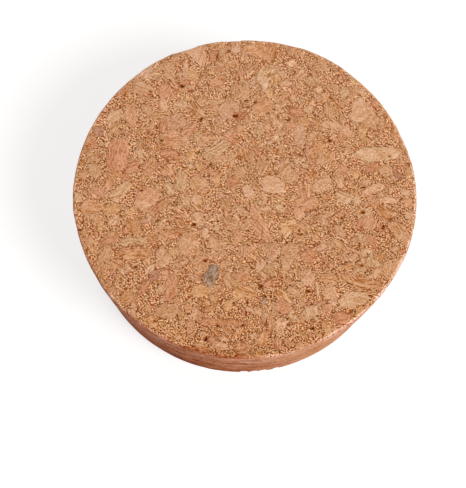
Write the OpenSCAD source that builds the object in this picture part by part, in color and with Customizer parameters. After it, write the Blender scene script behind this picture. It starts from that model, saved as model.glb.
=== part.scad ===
// Tapered cork stopper: one solid plug of pressed cork granules.
// It stands on its narrow face, centred on the origin, with its wide face up.

/* [Plug] */
// Diameter of the wide upper end, over its eased rim
top_d = 80; // [60:1:120]
// Diameter of the narrow lower end, over its eased rim
bottom_d = 73; // [50:1:78]
// Thickness from face to face
thickness = 25; // [12:0.5:60]

/* [Rims] */
// Radius of the eased rim of the wide face
top_rim_r = 0.6; // [0.2:0.1:3]
// Radius of the eased rim of the narrow face
bottom_rim_r = 0.8; // [0.2:0.1:3]

/* [Hidden] */
// Steps in a full circle, for the plug and for its rims
$fn = 180;

// Centre of each rim's arc, as [radius from the axis, height]
top_rim_centre = [top_d / 2 - top_rim_r, thickness - top_rim_r];
bottom_rim_centre = [bottom_d / 2 - bottom_rim_r, bottom_rim_r];

// The tapered wall is the line that touches both rims' arcs.
// Its outward direction is the same at both ends, and points slightly down.
rim_to_rim = top_rim_centre - bottom_rim_centre;
rim_line_angle = atan2(rim_to_rim[1], rim_to_rim[0]);
wall_lean = acos((bottom_rim_r - top_rim_r) / norm(rim_to_rim));
wall_outward = [cos(rim_line_angle - wall_lean), sin(rim_line_angle - wall_lean)];
wall_top = top_rim_centre + top_rim_r * wall_outward;
wall_bottom = bottom_rim_centre + bottom_rim_r * wall_outward;

// Half of the plug's section: two flat faces and the tapered wall, without the rims' arcs
module section_core() {
    polygon([
        [0, 0],
        [bottom_rim_centre[0], 0],
        bottom_rim_centre,
        wall_bottom,
        wall_top,
        top_rim_centre,
        [top_rim_centre[0], thickness],
        [0, thickness]
    ]);
}

// The round of one rim
module rim_round(centre, radius) {
    translate(centre) circle(r = radius);
}

module stopper() {
    color("#c38b64")
        rotate_extrude() {
            section_core();
            rim_round(top_rim_centre, top_rim_r);
            rim_round(bottom_rim_centre, bottom_rim_r);
        }
}

stopper();
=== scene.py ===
"""Cork stopper: a tapered plug of pressed cork granules, finished over its solid.

Laid out as an add-on. The sizes and colours are property groups, the plug and
its stage are operators, and a panel in the 3D view's sidebar lists them.
"""

import math
import random
from collections import namedtuple

import bpy
import numpy as np
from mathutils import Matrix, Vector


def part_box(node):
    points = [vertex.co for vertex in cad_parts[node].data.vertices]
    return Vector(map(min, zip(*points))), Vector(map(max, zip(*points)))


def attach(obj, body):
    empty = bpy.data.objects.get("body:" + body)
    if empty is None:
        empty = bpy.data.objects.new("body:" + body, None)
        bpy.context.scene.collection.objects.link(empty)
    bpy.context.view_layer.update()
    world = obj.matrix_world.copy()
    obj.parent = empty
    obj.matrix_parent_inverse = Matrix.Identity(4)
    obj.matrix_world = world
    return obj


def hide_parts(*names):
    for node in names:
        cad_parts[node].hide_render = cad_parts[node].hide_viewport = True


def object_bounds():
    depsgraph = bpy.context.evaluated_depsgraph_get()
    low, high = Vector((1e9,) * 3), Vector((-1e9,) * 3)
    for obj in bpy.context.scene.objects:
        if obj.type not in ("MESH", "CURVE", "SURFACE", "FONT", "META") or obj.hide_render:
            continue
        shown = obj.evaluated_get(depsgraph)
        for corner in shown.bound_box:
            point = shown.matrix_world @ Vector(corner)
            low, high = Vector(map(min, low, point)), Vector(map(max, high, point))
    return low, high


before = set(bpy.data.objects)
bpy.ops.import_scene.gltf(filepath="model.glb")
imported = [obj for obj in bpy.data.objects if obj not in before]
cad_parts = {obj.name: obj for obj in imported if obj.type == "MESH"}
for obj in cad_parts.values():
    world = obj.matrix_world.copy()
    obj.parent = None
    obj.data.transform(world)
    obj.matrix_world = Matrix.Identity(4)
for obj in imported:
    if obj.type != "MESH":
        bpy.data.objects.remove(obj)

bl_info = {
    "name": "Cork stopper",
    "version": (1, 0, 0),
    "blender": (4, 5, 0),
    "location": "View3D > Sidebar > Cork",
    "description": "Makes a tapered stopper of pressed cork granules and its stage",
    "category": "Add Mesh",
}

NODE = "stopper"
BODY = "root"
MM = 0.001
TOUCH = 0.001 * MM

CAD_LOW, CAD_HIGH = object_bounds()


# ---------------------------------------------------------------------------
# Cork tones and granules

# Each tone is the colour of a granule's cut face, as display red, green and blue.
TONES = {
    "light": (0.880, 0.683, 0.520),
    "pale": (0.812, 0.616, 0.456),
    "peach": (0.825, 0.615, 0.462),
    "olive": (0.790, 0.595, 0.425),
    "tan": (0.790, 0.575, 0.410),
    "yellow": (0.822, 0.604, 0.417),
    "orange": (0.790, 0.555, 0.377),
    "salmon": (0.800, 0.570, 0.410),
    "rose": (0.795, 0.583, 0.438),
    "rust": (0.765, 0.516, 0.358),
    "brown": (0.690, 0.460, 0.330),
    "slate": (0.620, 0.500, 0.405),
    "ash": (0.680, 0.540, 0.440),
}

# A granule's cut face: its tone, the turn of its fibres from +X in degrees, how plainly
# they show, from 0 to 1, and the corners of its outline in millimetres, taken in order.
Chip = namedtuple("Chip", "tone turn fibres corners")

# The granules that stand out on the wide face. Those that come first lie in front.
FACE_CHIPS = (
    Chip("tan", 20, 0.2, (
        (-21.6, 32.0), (-20.0, 33.5), (-18.2, 32.5), (-17.8, 30.2), (-18.4, 28.4), (-20.4, 28.6),
        (-20.4, 30.4),
    )),
    Chip("rose", 35, 0.6, (
        (-26.4, 29.0), (-25.4, 31.3), (-23.4, 31.7), (-22.2, 30.0), (-23.4, 28.6), (-25.0, 28.3),
    )),
    Chip("tan", -20, 0.2, (
        (-27.8, 27.4), (-25.8, 27.8), (-23.8, 27.2), (-22.2, 25.6), (-23.4, 24.1), (-25.8, 24.0),
        (-27.6, 25.0),
    )),
    Chip("rust", 60, 0.3, (
        (-21.8, 26.4), (-19.6, 27.6), (-18.2, 26.0), (-18.6, 23.6), (-20.4, 23.2), (-21.6, 24.6),
    )),
    Chip("tan", 0, 0.2, ((-21.2, 22.8), (-19.8, 23.4), (-18.7, 21.2), (-19.3, 19.9), (-20.8, 20.4))),
    Chip("pale", 55, 0.3, (
        (-33.3, 17.6), (-32.8, 19.2), (-31.2, 20.2), (-29.9, 19.2), (-30.5, 17.2), (-32.1, 16.2),
        (-32.7, 15.2),
    )),
    Chip("salmon", 75, 0.3, (
        (-29.4, 20.0), (-28.0, 21.4), (-26.2, 20.2), (-25.8, 17.8), (-26.9, 15.7), (-28.3, 16.4),
        (-29.0, 18.2),
    )),
    Chip("peach", 60, 0.2, ((-24.8, 21.9), (-23.2, 21.0), (-22.5, 19.3), (-23.9, 19.0), (-24.9, 20.2))),
    Chip("pale", 0, 0.2, ((-17.8, 22.4), (-15.4, 23.0), (-13.8, 21.6), (-15.0, 20.6), (-17.4, 20.8))),
    Chip("rose", 50, 0.5, (
        (-19.4, 18.6), (-17.4, 20.0), (-15.0, 19.0), (-14.2, 16.8), (-16.2, 15.2), (-18.4, 15.8),
    )),
    Chip("rust", 85, 0.6, ((-20.5, 18.0), (-19.6, 18.6), (-18.8, 16.4), (-19.4, 14.2), (-20.5, 14.8))),
    Chip("tan", 85, 0.5, ((-15.6, 34.0), (-14.6, 32.6), (-14.4, 30.2), (-15.4, 28.4), (-16.0, 31.0))),
    Chip("peach", 80, 0.15, (
        (-15.5, 36.2), (-14.2, 37.4), (-11.8, 37.8), (-10.6, 36.0), (-10.4, 33.0), (-11.2, 31.4),
        (-12.4, 32.8), (-14.0, 34.6),
    )),
    Chip("yellow", 20, 0.2, ((-14.3, 31.2), (-12.6, 31.0), (-12.0, 29.0), (-13.0, 28.0), (-14.6, 28.8))),
    Chip("orange", 70, 0.4, ((-30.0, 26.0), (-28.6, 26.4), (-28.0, 24.6), (-29.2, 23.2), (-30.2, 24.2))),
    Chip("brown", 30, 0.5, ((-36.2, 15.2), (-34.6, 15.6), (-33.6, 13.8), (-34.8, 12.6), (-36.2, 13.4))),
    Chip("orange", 20, 0.5, (
        (-1.8, 38.6), (2.6, 39.0), (4.6, 38.4), (4.0, 36.6), (5.6, 34.8), (4.6, 34.0), (2.0, 35.4),
        (-1.6, 36.4),
    )),
    Chip("orange", 70, 0.9, ((4.8, 38.8), (6.6, 38.4), (6.4, 35.4), (5.6, 33.8), (4.2, 36.2))),
    Chip("olive", 60, 0.6, (
        (2.0, 28.4), (1.8, 30.4), (2.8, 32.4), (5.0, 33.6), (6.4, 33.0), (4.4, 31.8), (3.4, 29.6),
        (3.2, 27.8),
    )),
    Chip("pale", 65, 0.9, (
        (3.2, 26.2), (3.3, 29.4), (4.4, 31.6), (6.4, 32.8), (6.3, 31.4), (5.0, 29.2), (4.8, 27.4),
        (4.0, 25.8),
    )),
    Chip("rose", 30, 0.15, (
        (-7.2, 21.2), (-6.0, 22.6), (-3.4, 23.4), (-2.0, 22.4), (-1.8, 20.8), (-3.2, 20.4), (-3.6, 19.0),
        (-5.2, 18.4), (-6.6, 19.6),
    )),
    Chip("pale", 0, 0.1, ((-9.4, 22.8), (-8.2, 23.6), (-6.6, 22.9), (-7.6, 22.0))),
    Chip("orange", 20, 0.3, (
        (0.9, 22.0), (2.4, 23.4), (4.4, 24.2), (6.0, 22.8), (5.2, 21.0), (3.6, 19.8), (1.8, 19.6),
    )),
    Chip("olive", -60, 0.7, ((2.0, 17.6), (3.4, 18.2), (4.3, 16.4), (3.8, 14.2), (2.8, 14.4), (2.2, 16.0))),
    Chip("tan", -60, 1, ((5.4, 20.4), (7.6, 20.8), (9.0, 18.4), (7.6, 16.6), (6.0, 17.4))),
    Chip("light", 10, 0.2, ((8.5, 34.0), (10.2, 34.9), (11.4, 33.8), (10.0, 32.7))),
    Chip("pale", 0, 0.4, ((6.4, 31.6), (8.2, 31.8), (9.2, 30.8), (7.8, 30.2))),
    Chip("rose", 70, 0.2, (
        (11.0, 16.4), (12.4, 18.0), (13.8, 16.6), (14.2, 13.6), (13.0, 11.4), (11.4, 12.8),
    )),
    Chip("rust", -35, 0.8, (
        (-6.0, 14.4), (-4.4, 15.6), (-2.4, 14.6), (-1.6, 12.6), (-3.2, 11.8), (-4.6, 12.8),
    )),
    Chip("rust", 80, 0.4, ((-9.8, 35.8), (-8.4, 36.8), (-7.8, 34.0), (-8.8, 33.2), (-9.8, 34.2))),
    Chip("pale", 40, 0.6, ((9.8, 24.6), (11.0, 25.2), (11.8, 24.4), (10.6, 23.6))),
    Chip("rose", 0, 0.4, ((6.6, 16.2), (8.4, 16.4), (10.0, 15.4), (8.6, 14.6), (6.8, 15.0))),
    Chip("light", 0, 0.5, ((5.8, 14.4), (7.2, 14.8), (8.0, 14.0), (6.6, 13.5))),
    Chip("peach", 40, 0.15, (
        (25.4, 25.0), (27.0, 25.6), (28.4, 24.0), (30.1, 22.4), (30.2, 20.4), (28.4, 20.3), (27.4, 19.2),
        (25.6, 19.0), (23.6, 20.4), (24.8, 21.8), (24.4, 23.2),
    )),
    Chip("olive", 85, 0.2, ((22.2, 28.2), (23.8, 28.0), (23.9, 26.2), (22.8, 24.8), (22.0, 26.0))),
    Chip("peach", -10, 0.2, (
        (17.6, 18.6), (19.0, 19.2), (22.2, 18.6), (22.4, 17.4), (20.0, 17.0), (18.0, 17.4),
    )),
    Chip("peach", -50, 0.2, (
        (22.0, 18.4), (24.4, 17.8), (24.8, 15.8), (24.2, 14.8), (22.8, 15.6), (21.8, 16.8),
    )),
    Chip("yellow", 70, 0.6, (
        (26.0, 17.4), (27.2, 18.8), (28.6, 17.6), (28.4, 15.6), (27.2, 14.4), (26.2, 15.6),
    )),
    Chip("peach", 0, 0.3, ((26.0, 27.2), (27.4, 28.0), (28.4, 26.8), (27.2, 25.8))),
    Chip("yellow", 0, 0.2, ((12.0, 19.6), (13.8, 20.0), (14.8, 18.6), (13.4, 17.2), (12.2, 17.6))),
    Chip("light", 0, 0.2, ((15.8, 27.4), (17.2, 28.2), (18.0, 27.0), (16.6, 26.2))),
    Chip("yellow", 60, 0.3, ((17.4, 26.2), (18.8, 26.6), (19.6, 25.2), (18.4, 24.2))),
    Chip("olive", 0, 0.1, ((21.8, 20.2), (23.4, 19.8), (23.6, 18.8), (22.0, 18.4))),
    Chip("rust", 0, 0.3, ((29.4, 25.2), (31.2, 24.8), (31.0, 23.0), (29.6, 23.6))),
    Chip("tan", 0, 0.2, ((19.8, 28.8), (21.6, 28.6), (21.8, 27.0), (20.4, 26.6))),
    Chip("rust", 88, 0.5, (
        (-32.0, 11.8), (-29.6, 12.8), (-28.0, 12.4), (-27.2, 9.0), (-27.8, 5.6), (-28.8, 4.4),
        (-30.2, 4.0), (-32.4, 5.0), (-32.6, 9.0),
    )),
    Chip("light", 0, 0, ((-33.6, 10.8), (-33.0, 11.6), (-32.3, 11.0), (-32.8, 10.2))),
    Chip("orange", 0, 0.3, ((-32.2, 4.8), (-29.0, 4.2), (-28.6, 2.8), (-30.8, 2.4), (-32.0, 3.2))),
    Chip("olive", 40, 0.3, (
        (-37.0, 5.6), (-34.8, 6.0), (-33.8, 4.4), (-34.0, 2.6), (-35.6, 2.2), (-36.4, 3.6),
    )),
    Chip("tan", 20, 0.2, ((-39.0, 3.8), (-37.4, 4.4), (-36.6, 3.0), (-37.4, 1.8), (-38.8, 2.0))),
    Chip("salmon", 60, 0.4, ((-32.2, 2.6), (-30.4, 3.0), (-30.2, 1.4), (-31.8, -1.0), (-33.2, -0.4))),
    Chip("rust", -15, 0.4, ((-35.6, -0.4), (-33.8, 0.0), (-31.8, -1.2), (-33.2, -2.2), (-35.2, -1.8))),
    Chip("olive", 38, 0.4, (
        (-31.6, -1.8), (-29.6, 0.4), (-27.4, 1.9), (-26.1, 1.0), (-27.2, -1.2), (-29.2, -3.6),
        (-31.0, -3.2),
    )),
    Chip("salmon", 32, 0.2, (
        (-25.4, -2.6), (-24.2, -0.6), (-21.8, 0.6), (-19.3, -0.4), (-19.8, -2.6), (-21.6, -4.4),
        (-24.0, -5.2), (-25.3, -4.4),
    )),
    Chip("olive", 82, 0.3, (
        (-15.6, 5.4), (-14.0, 4.8), (-13.2, 2.4), (-13.8, 0.2), (-15.8, -0.1), (-16.4, 1.2), (-15.7, 3.2),
    )),
    Chip("orange", 0, 0.6, (
        (-38.0, -5.4), (-36.6, -2.6), (-34.4, -3.6), (-32.4, -4.4), (-33.2, -5.8), (-35.6, -6.8),
        (-37.6, -7.0),
    )),
    Chip("pale", 80, 0.1, ((-39.6, -1.4), (-37.8, -1.8), (-37.6, -3.8), (-39.2, -4.2))),
    Chip("tan", 80, 0.8, (
        (-35.6, -7.0), (-33.8, -6.2), (-32.0, -7.6), (-32.8, -9.6), (-34.4, -10.8), (-35.0, -9.0),
    )),
    Chip("rust", 10, 0.2, (
        (-20.2, 9.6), (-18.4, 10.4), (-16.0, 9.8), (-16.2, 8.0), (-18.6, 7.8), (-20.0, 8.4),
    )),
    Chip("pale", 0, 0.2, ((-26.2, 9.8), (-24.8, 10.2), (-24.0, 9.0), (-25.0, 8.0))),
    Chip("pale", -20, 0.1, ((-20.0, -8.6), (-18.8, -8.2), (-17.6, -9.4), (-18.8, -9.8))),
    Chip("salmon", 20, 0.1, ((-37.4, -12.8), (-35.0, -12.2), (-34.0, -13.8), (-35.6, -15.0))),
    Chip("rust", 50, 0.4, ((-22.0, -4.8), (-20.0, -3.6), (-19.4, -5.2), (-20.8, -6.4), (-22.2, -6.0))),
    Chip("peach", 80, 0.3, ((-15.2, 13.6), (-13.6, 13.8), (-13.2, 11.8), (-14.8, 11.2))),
    Chip("salmon", 40, 0.5, (
        (-33.4, -13.8), (-31.6, -11.6), (-29.4, -10.6), (-28.0, -11.6), (-29.2, -13.4), (-31.6, -14.6),
    )),
    Chip("olive", -8, 0.9, (
        (-28.0, -12.4), (-25.0, -11.8), (-21.8, -12.2), (-22.6, -13.4), (-25.4, -14.2), (-27.8, -13.8),
    )),
    Chip("orange", 20, 0.4, (
        (-20.2, -11.4), (-17.6, -10.4), (-14.4, -9.4), (-13.6, -10.2), (-15.8, -11.6), (-18.6, -12.4),
    )),
    Chip("olive", 33, 0.6, (
        (-9.9, 8.4), (-9.8, 10.4), (-7.4, 11.6), (-5.2, 13.2), (-3.9, 12.4), (-4.4, 10.8), (-6.4, 9.2),
        (-8.4, 7.9),
    )),
    Chip("peach", 0, 0.05, (
        (4.0, 2.6), (4.6, 4.3), (6.2, 4.5), (7.8, 4.2), (9.4, 2.4), (8.9, 0.2), (6.8, 0.0), (4.6, 0.4),
        (4.1, 1.4),
    )),
    Chip("rust", 0, 0.2, ((-4.2, 3.8), (-2.4, 4.2), (-1.2, 3.0), (-1.8, 1.4), (-3.4, 1.0), (-4.4, 2.0))),
    Chip("peach", -60, 0.3, ((-0.6, 1.4), (0.8, 2.0), (2.0, 1.0), (2.4, -1.2), (1.4, -2.0), (0.0, -0.8))),
    Chip("tan", -20, 0.3, (
        (-13.0, 2.8), (-11.0, 4.2), (-9.0, 3.0), (-8.2, 1.2), (-10.6, 0.2), (-12.6, 0.6),
    )),
    Chip("orange", -40, 0.9, ((-8.4, 4.8), (-6.6, 5.2), (-5.4, 3.0), (-6.4, 1.6), (-8.0, 2.2))),
    Chip("rose", 40, 0.7, ((-5.8, -0.4), (-4.4, -0.4), (-3.9, -1.8), (-5.4, -2.4), (-6.0, -1.4))),
    Chip("peach", 20, 0.2, ((-12.0, -1.0), (-10.4, -0.9), (-9.7, -2.4), (-10.8, -3.6), (-12.2, -2.8))),
    Chip("salmon", -65, 0.6, (
        (1.4, -2.6), (2.8, -2.2), (4.0, -4.8), (5.6, -8.0), (6.8, -11.6), (5.6, -12.2), (3.4, -10.6),
        (2.0, -8.0), (1.6, -5.4),
    )),
    Chip("peach", 0, 0.2, ((-1.6, -4.4), (-0.2, -4.0), (0.9, -4.6), (0.4, -5.8), (-1.2, -5.6))),
    Chip("peach", 80, 0.1, ((-9.6, -10.4), (-8.6, -8.8), (-7.8, -9.6), (-8.2, -11.4), (-9.2, -12.0))),
    Chip("salmon", 60, 0.3, ((11.6, -3.0), (13.6, -3.2), (14.4, -5.2), (12.8, -6.4), (11.4, -4.8))),
    Chip("orange", 0, 0.2, ((12.0, -1.0), (14.0, -0.8), (13.8, -2.6), (12.2, -2.8))),
    Chip("yellow", 0, 0.3, ((-12.0, 7.0), (-10.2, 7.2), (-9.4, 5.8), (-11.0, 5.0))),
    Chip("pale", 0, 0, ((-4.7, 5.4), (-4.1, 5.8), (-3.6, 5.0), (-4.3, 4.6))),
    Chip("tan", 70, 0.6, ((2.8, 8.2), (4.6, 8.4), (5.2, 6.2), (3.8, 4.8), (2.8, 6.2))),
    Chip("tan", 60, 0.4, ((0.2, 10.0), (2.0, 9.6), (2.2, 7.8), (0.6, 7.4))),
    Chip("pale", 0, 0.1, ((-6.6, -8.2), (-5.4, -8.2), (-5.2, -9.4), (-6.6, -9.6))),
    Chip("pale", 2, 0.3, (
        (25.8, 11.6), (28.0, 12.6), (31.4, 12.8), (34.4, 12.8), (36.2, 11.6), (35.4, 10.0), (31.6, 9.2),
        (27.6, 9.2), (25.6, 10.2),
    )),
    Chip("peach", 35, 0.1, (
        (15.9, 2.6), (17.6, 4.2), (19.8, 4.8), (20.2, 3.0), (19.4, 1.2), (17.2, 1.0), (16.4, 0.4),
    )),
    Chip("pale", -20, 0.6, ((21.2, 1.4), (23.0, 1.2), (25.6, 0.2), (24.6, -1.6), (23.0, -2.2), (21.4, -0.8))),
    Chip("peach", 22, 0.3, (
        (27.4, 0.8), (28.6, 2.8), (31.0, 3.7), (32.8, 3.4), (32.2, 2.0), (29.8, 0.8), (28.0, 0.0),
    )),
    Chip("tan", 15, 0.5, ((26.6, 3.4), (28.4, 4.6), (31.8, 4.2), (29.0, 3.4), (27.2, 2.2))),
    Chip("rust", 0, 0.3, ((28.0, 8.6), (30.6, 8.6), (31.2, 7.2), (29.6, 6.0), (28.2, 6.4))),
    Chip("tan", 0, 0.3, ((31.2, 7.8), (33.6, 8.6), (34.4, 7.2), (33.0, 6.2), (31.6, 6.4))),
    Chip("brown", -45, 0.4, ((34.2, 7.8), (35.6, 7.0), (37.2, 5.0), (36.2, 4.2), (34.6, 6.0))),
    Chip("yellow", 0, 0.3, ((24.4, 6.6), (26.4, 6.8), (26.8, 5.0), (25.4, 4.4))),
    Chip("peach", 0, 0.5, ((31.2, -0.2), (34.0, 0.4), (36.0, -0.6), (34.0, -1.4), (31.6, -1.0))),
    Chip("peach", 0, 0.2, ((36.0, 2.6), (38.4, 2.2), (38.2, 0.8), (36.4, 0.8))),
    Chip("orange", 30, 0.4, ((36.2, -0.4), (38.6, 0.4), (39.2, -1.4), (37.4, -2.6))),
    Chip("tan", -55, 0.5, (
        (33.2, -6.4), (35.4, -5.6), (37.2, -7.0), (38.6, -9.4), (38.0, -12.4), (36.2, -10.6), (34.4, -9.0),
    )),
    Chip("peach", 0, 0.2, ((37.0, -3.2), (39.0, -3.0), (39.0, -5.4), (37.4, -5.0))),
    Chip("salmon", 60, 0.4, (
        (27.2, -5.0), (29.0, -4.4), (31.0, -5.6), (30.6, -7.8), (28.8, -8.4), (28.0, -6.8),
    )),
    Chip("rust", 80, 0.2, ((26.4, -5.6), (27.6, -5.6), (28.0, -7.4), (27.0, -8.6), (26.2, -7.2))),
    Chip("pale", 80, 0.2, ((26.4, -9.0), (28.4, -9.2), (28.8, -11.6), (27.4, -12.0), (26.6, -10.6))),
    Chip("rust", 80, 0.3, ((28.6, -9.2), (30.8, -9.8), (31.0, -11.4), (29.0, -12.0))),
    Chip("light", 0, 0, ((28.4, -12.8), (29.2, -12.6), (30.0, -13.4), (29.6, -14.2), (28.6, -13.8))),
    Chip("pale", 0, 0.1, ((13.2, 8.2), (14.8, 7.8), (14.6, 6.8), (13.4, 6.8))),
    Chip("rust", 0, 0.3, ((22.0, 7.6), (24.0, 8.2), (24.2, 6.2), (22.6, 5.6))),
    Chip("peach", 60, 0.05, (
        (-19.9, -15.6), (-18.9, -13.9), (-17.8, -14.6), (-15.9, -16.8), (-17.0, -18.6), (-18.6, -19.6),
        (-19.6, -18.4),
    )),
    Chip("orange", 5, 1, (
        (-28.2, -15.0), (-25.0, -14.4), (-21.6, -14.8), (-20.4, -16.2), (-22.4, -17.4), (-26.8, -17.6),
        (-28.6, -16.4),
    )),
    Chip("tan", 70, 0.5, (
        (-33.6, -18.6), (-32.6, -15.4), (-30.6, -13.8), (-29.8, -15.4), (-30.4, -19.0), (-31.4, -21.2),
        (-33.0, -21.0),
    )),
    Chip("pale", 0, 0, ((-25.2, -18.8), (-24.2, -18.2), (-23.4, -19.2), (-24.6, -20.0))),
    Chip("brown", 60, 0.3, ((-21.4, -22.4), (-20.4, -20.2), (-19.2, -19.6), (-18.8, -21.0), (-19.8, -23.2))),
    Chip("rust", 78, 0.5, (
        (-17.4, -25.6), (-16.8, -22.0), (-15.6, -20.4), (-14.2, -21.6), (-14.4, -24.4), (-15.4, -27.0),
        (-16.8, -27.2),
    )),
    Chip("rust", 65, 0.3, ((-23.6, -25.6), (-22.4, -22.6), (-20.8, -22.8), (-21.4, -25.0), (-22.8, -26.4))),
    Chip("orange", 30, 0.5, ((-27.4, -27.2), (-26.2, -24.8), (-24.4, -25.4), (-23.8, -27.4), (-25.6, -28.6))),
    Chip("rose", -45, 0.2, ((-25.8, -29.6), (-24.2, -29.2), (-22.8, -31.0), (-23.8, -32.2), (-25.0, -31.0))),
    Chip("tan", 10, 0.3, (
        (-19.6, -29.4), (-17.8, -28.0), (-14.6, -27.8), (-13.4, -29.0), (-14.6, -31.0), (-17.6, -31.4),
    )),
    Chip("orange", 0, 0.2, ((-13.0, -28.0), (-11.2, -27.6), (-10.4, -29.0), (-12.2, -29.8))),
    Chip("tan", 65, 0.25, (
        (-14.6, -12.6), (-13.6, -10.6), (-11.4, -10.2), (-10.4, -11.6), (-10.8, -14.4), (-12.8, -16.2),
        (-14.4, -15.2),
    )),
    Chip("slate", 70, 1, (
        (-7.2, -18.0), (-5.3, -18.2), (-5.5, -21.0), (-6.2, -22.8), (-7.4, -21.6), (-8.0, -20.0),
    )),
    Chip("ash", 60, 0.8, ((-9.0, -20.4), (-7.6, -20.2), (-6.2, -22.6), (-7.0, -23.4), (-8.6, -22.6))),
    Chip("yellow", 0, 0.1, (
        (-11.6, -25.2), (-10.4, -23.2), (-8.6, -22.8), (-7.2, -23.8), (-7.4, -25.4), (-9.8, -26.4),
    )),
    Chip("yellow", -15, 0.7, (
        (-2.0, -24.6), (-0.8, -22.8), (1.0, -22.4), (2.8, -23.4), (3.6, -25.0), (2.6, -25.8),
        (0.4, -25.6), (-1.4, -26.8),
    )),
    Chip("yellow", 70, 0.4, ((-3.6, -26.8), (-2.0, -26.2), (-1.6, -27.6), (-2.2, -29.4), (-3.4, -28.8))),
    Chip("pale", 72, 0.1, (
        (9.0, -16.6), (10.4, -15.8), (11.8, -16.0), (11.0, -18.0), (10.2, -19.8), (9.2, -18.4),
    )),
    Chip("olive", -30, 0.3, ((5.0, -17.8), (6.6, -17.8), (8.2, -19.2), (7.6, -20.2), (6.2, -19.6))),
    Chip("rust", 0, 0.4, (
        (-9.8, -31.8), (-7.4, -31.0), (-3.6, -30.8), (0.2, -31.0), (-0.6, -32.4), (-4.2, -32.4),
        (-8.0, -32.8),
    )),
    Chip("peach", 0, 0.1, ((-5.9, -37.4), (-4.6, -36.2), (-2.8, -36.8), (-2.0, -38.2), (-4.8, -38.4))),
    Chip("salmon", 0, 0.1, ((-10.4, -37.0), (-8.4, -36.6), (-7.4, -37.6), (-8.8, -38.4))),
    Chip("rust", -20, 0.2, (
        (7.8, -26.8), (9.6, -26.0), (11.4, -26.8), (12.0, -28.4), (10.0, -29.2), (8.2, -28.4),
    )),
    Chip("orange", 80, 0.8, ((6.4, -30.4), (7.4, -29.8), (8.0, -31.6), (7.6, -34.2), (6.6, -33.0))),
    Chip("pale", 0, 0.1, ((2.2, -34.2), (3.6, -33.8), (4.4, -34.8), (3.0, -35.6))),
    Chip("tan", 0, 0.1, ((8.2, -33.4), (9.8, -33.2), (10.0, -34.4), (8.8, -34.6))),
    Chip("ash", 0, 0, ((4.8, -25.9), (6.0, -25.8), (5.8, -27.0), (5.0, -27.0))),
    Chip("salmon", 0, 0.2, ((0.6, -13.6), (2.8, -13.0), (3.4, -14.4), (1.2, -14.8))),
    Chip("salmon", 0, 0.2, ((-12.0, -32.0), (-10.4, -31.6), (-10.0, -33.2), (-11.8, -33.6))),
    Chip("orange", -10, 1, (
        (22.0, -19.0), (26.0, -19.2), (31.6, -20.6), (33.0, -22.0), (31.0, -22.6), (26.0, -21.6),
        (22.4, -20.6),
    )),
    Chip("tan", 60, 0.15, (
        (32.0, -16.8), (33.4, -15.4), (36.2, -14.6), (37.0, -15.8), (35.6, -18.6), (33.4, -20.0),
        (32.4, -19.0),
    )),
    Chip("pale", 8, 0.2, (
        (22.2, -25.6), (23.6, -23.8), (26.0, -23.0), (28.4, -23.4), (29.8, -24.2), (28.6, -25.8),
        (25.4, -27.2), (23.2, -27.0),
    )),
    Chip("tan", 0, 0.1, (
        (18.4, -23.4), (19.6, -22.0), (21.6, -22.2), (22.1, -23.8), (21.0, -25.4), (19.2, -25.2),
    )),
    Chip("light", 85, 0.2, ((17.2, -22.2), (17.8, -22.0), (18.0, -24.8), (17.4, -25.2))),
    Chip("rose", 75, 0.4, (
        (13.8, -18.6), (15.6, -18.0), (17.0, -20.4), (16.4, -22.4), (14.4, -22.2), (13.4, -20.4),
    )),
    Chip("rust", 30, 0.3, ((13.8, -14.4), (15.6, -13.0), (17.4, -14.2), (16.4, -16.6), (14.2, -16.6))),
    Chip("pale", 65, 0.4, (
        (13.8, -29.2), (15.4, -27.0), (17.4, -27.0), (17.8, -28.8), (16.0, -30.4), (14.4, -30.4),
    )),
    Chip("rust", 0, 0.3, (
        (21.4, -28.4), (23.4, -28.0), (25.2, -29.0), (24.6, -31.0), (22.4, -31.2), (21.0, -30.0),
    )),
    Chip("rust", 70, 0.4, ((18.8, -26.4), (20.6, -26.2), (21.0, -28.0), (19.4, -28.6))),
    Chip("tan", 0, 0.3, ((12.6, -24.2), (14.4, -24.0), (15.0, -25.6), (13.2, -26.0))),
)

# A pit where a crumb has dropped out: centre, length and width in millimetres,
# turn of its length from +X in degrees, and how deep and dark it is, from 0 to 1.
# Its darkness is painted shade in the hollow.
Pit = namedtuple("Pit", "x y length width turn dark")

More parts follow.
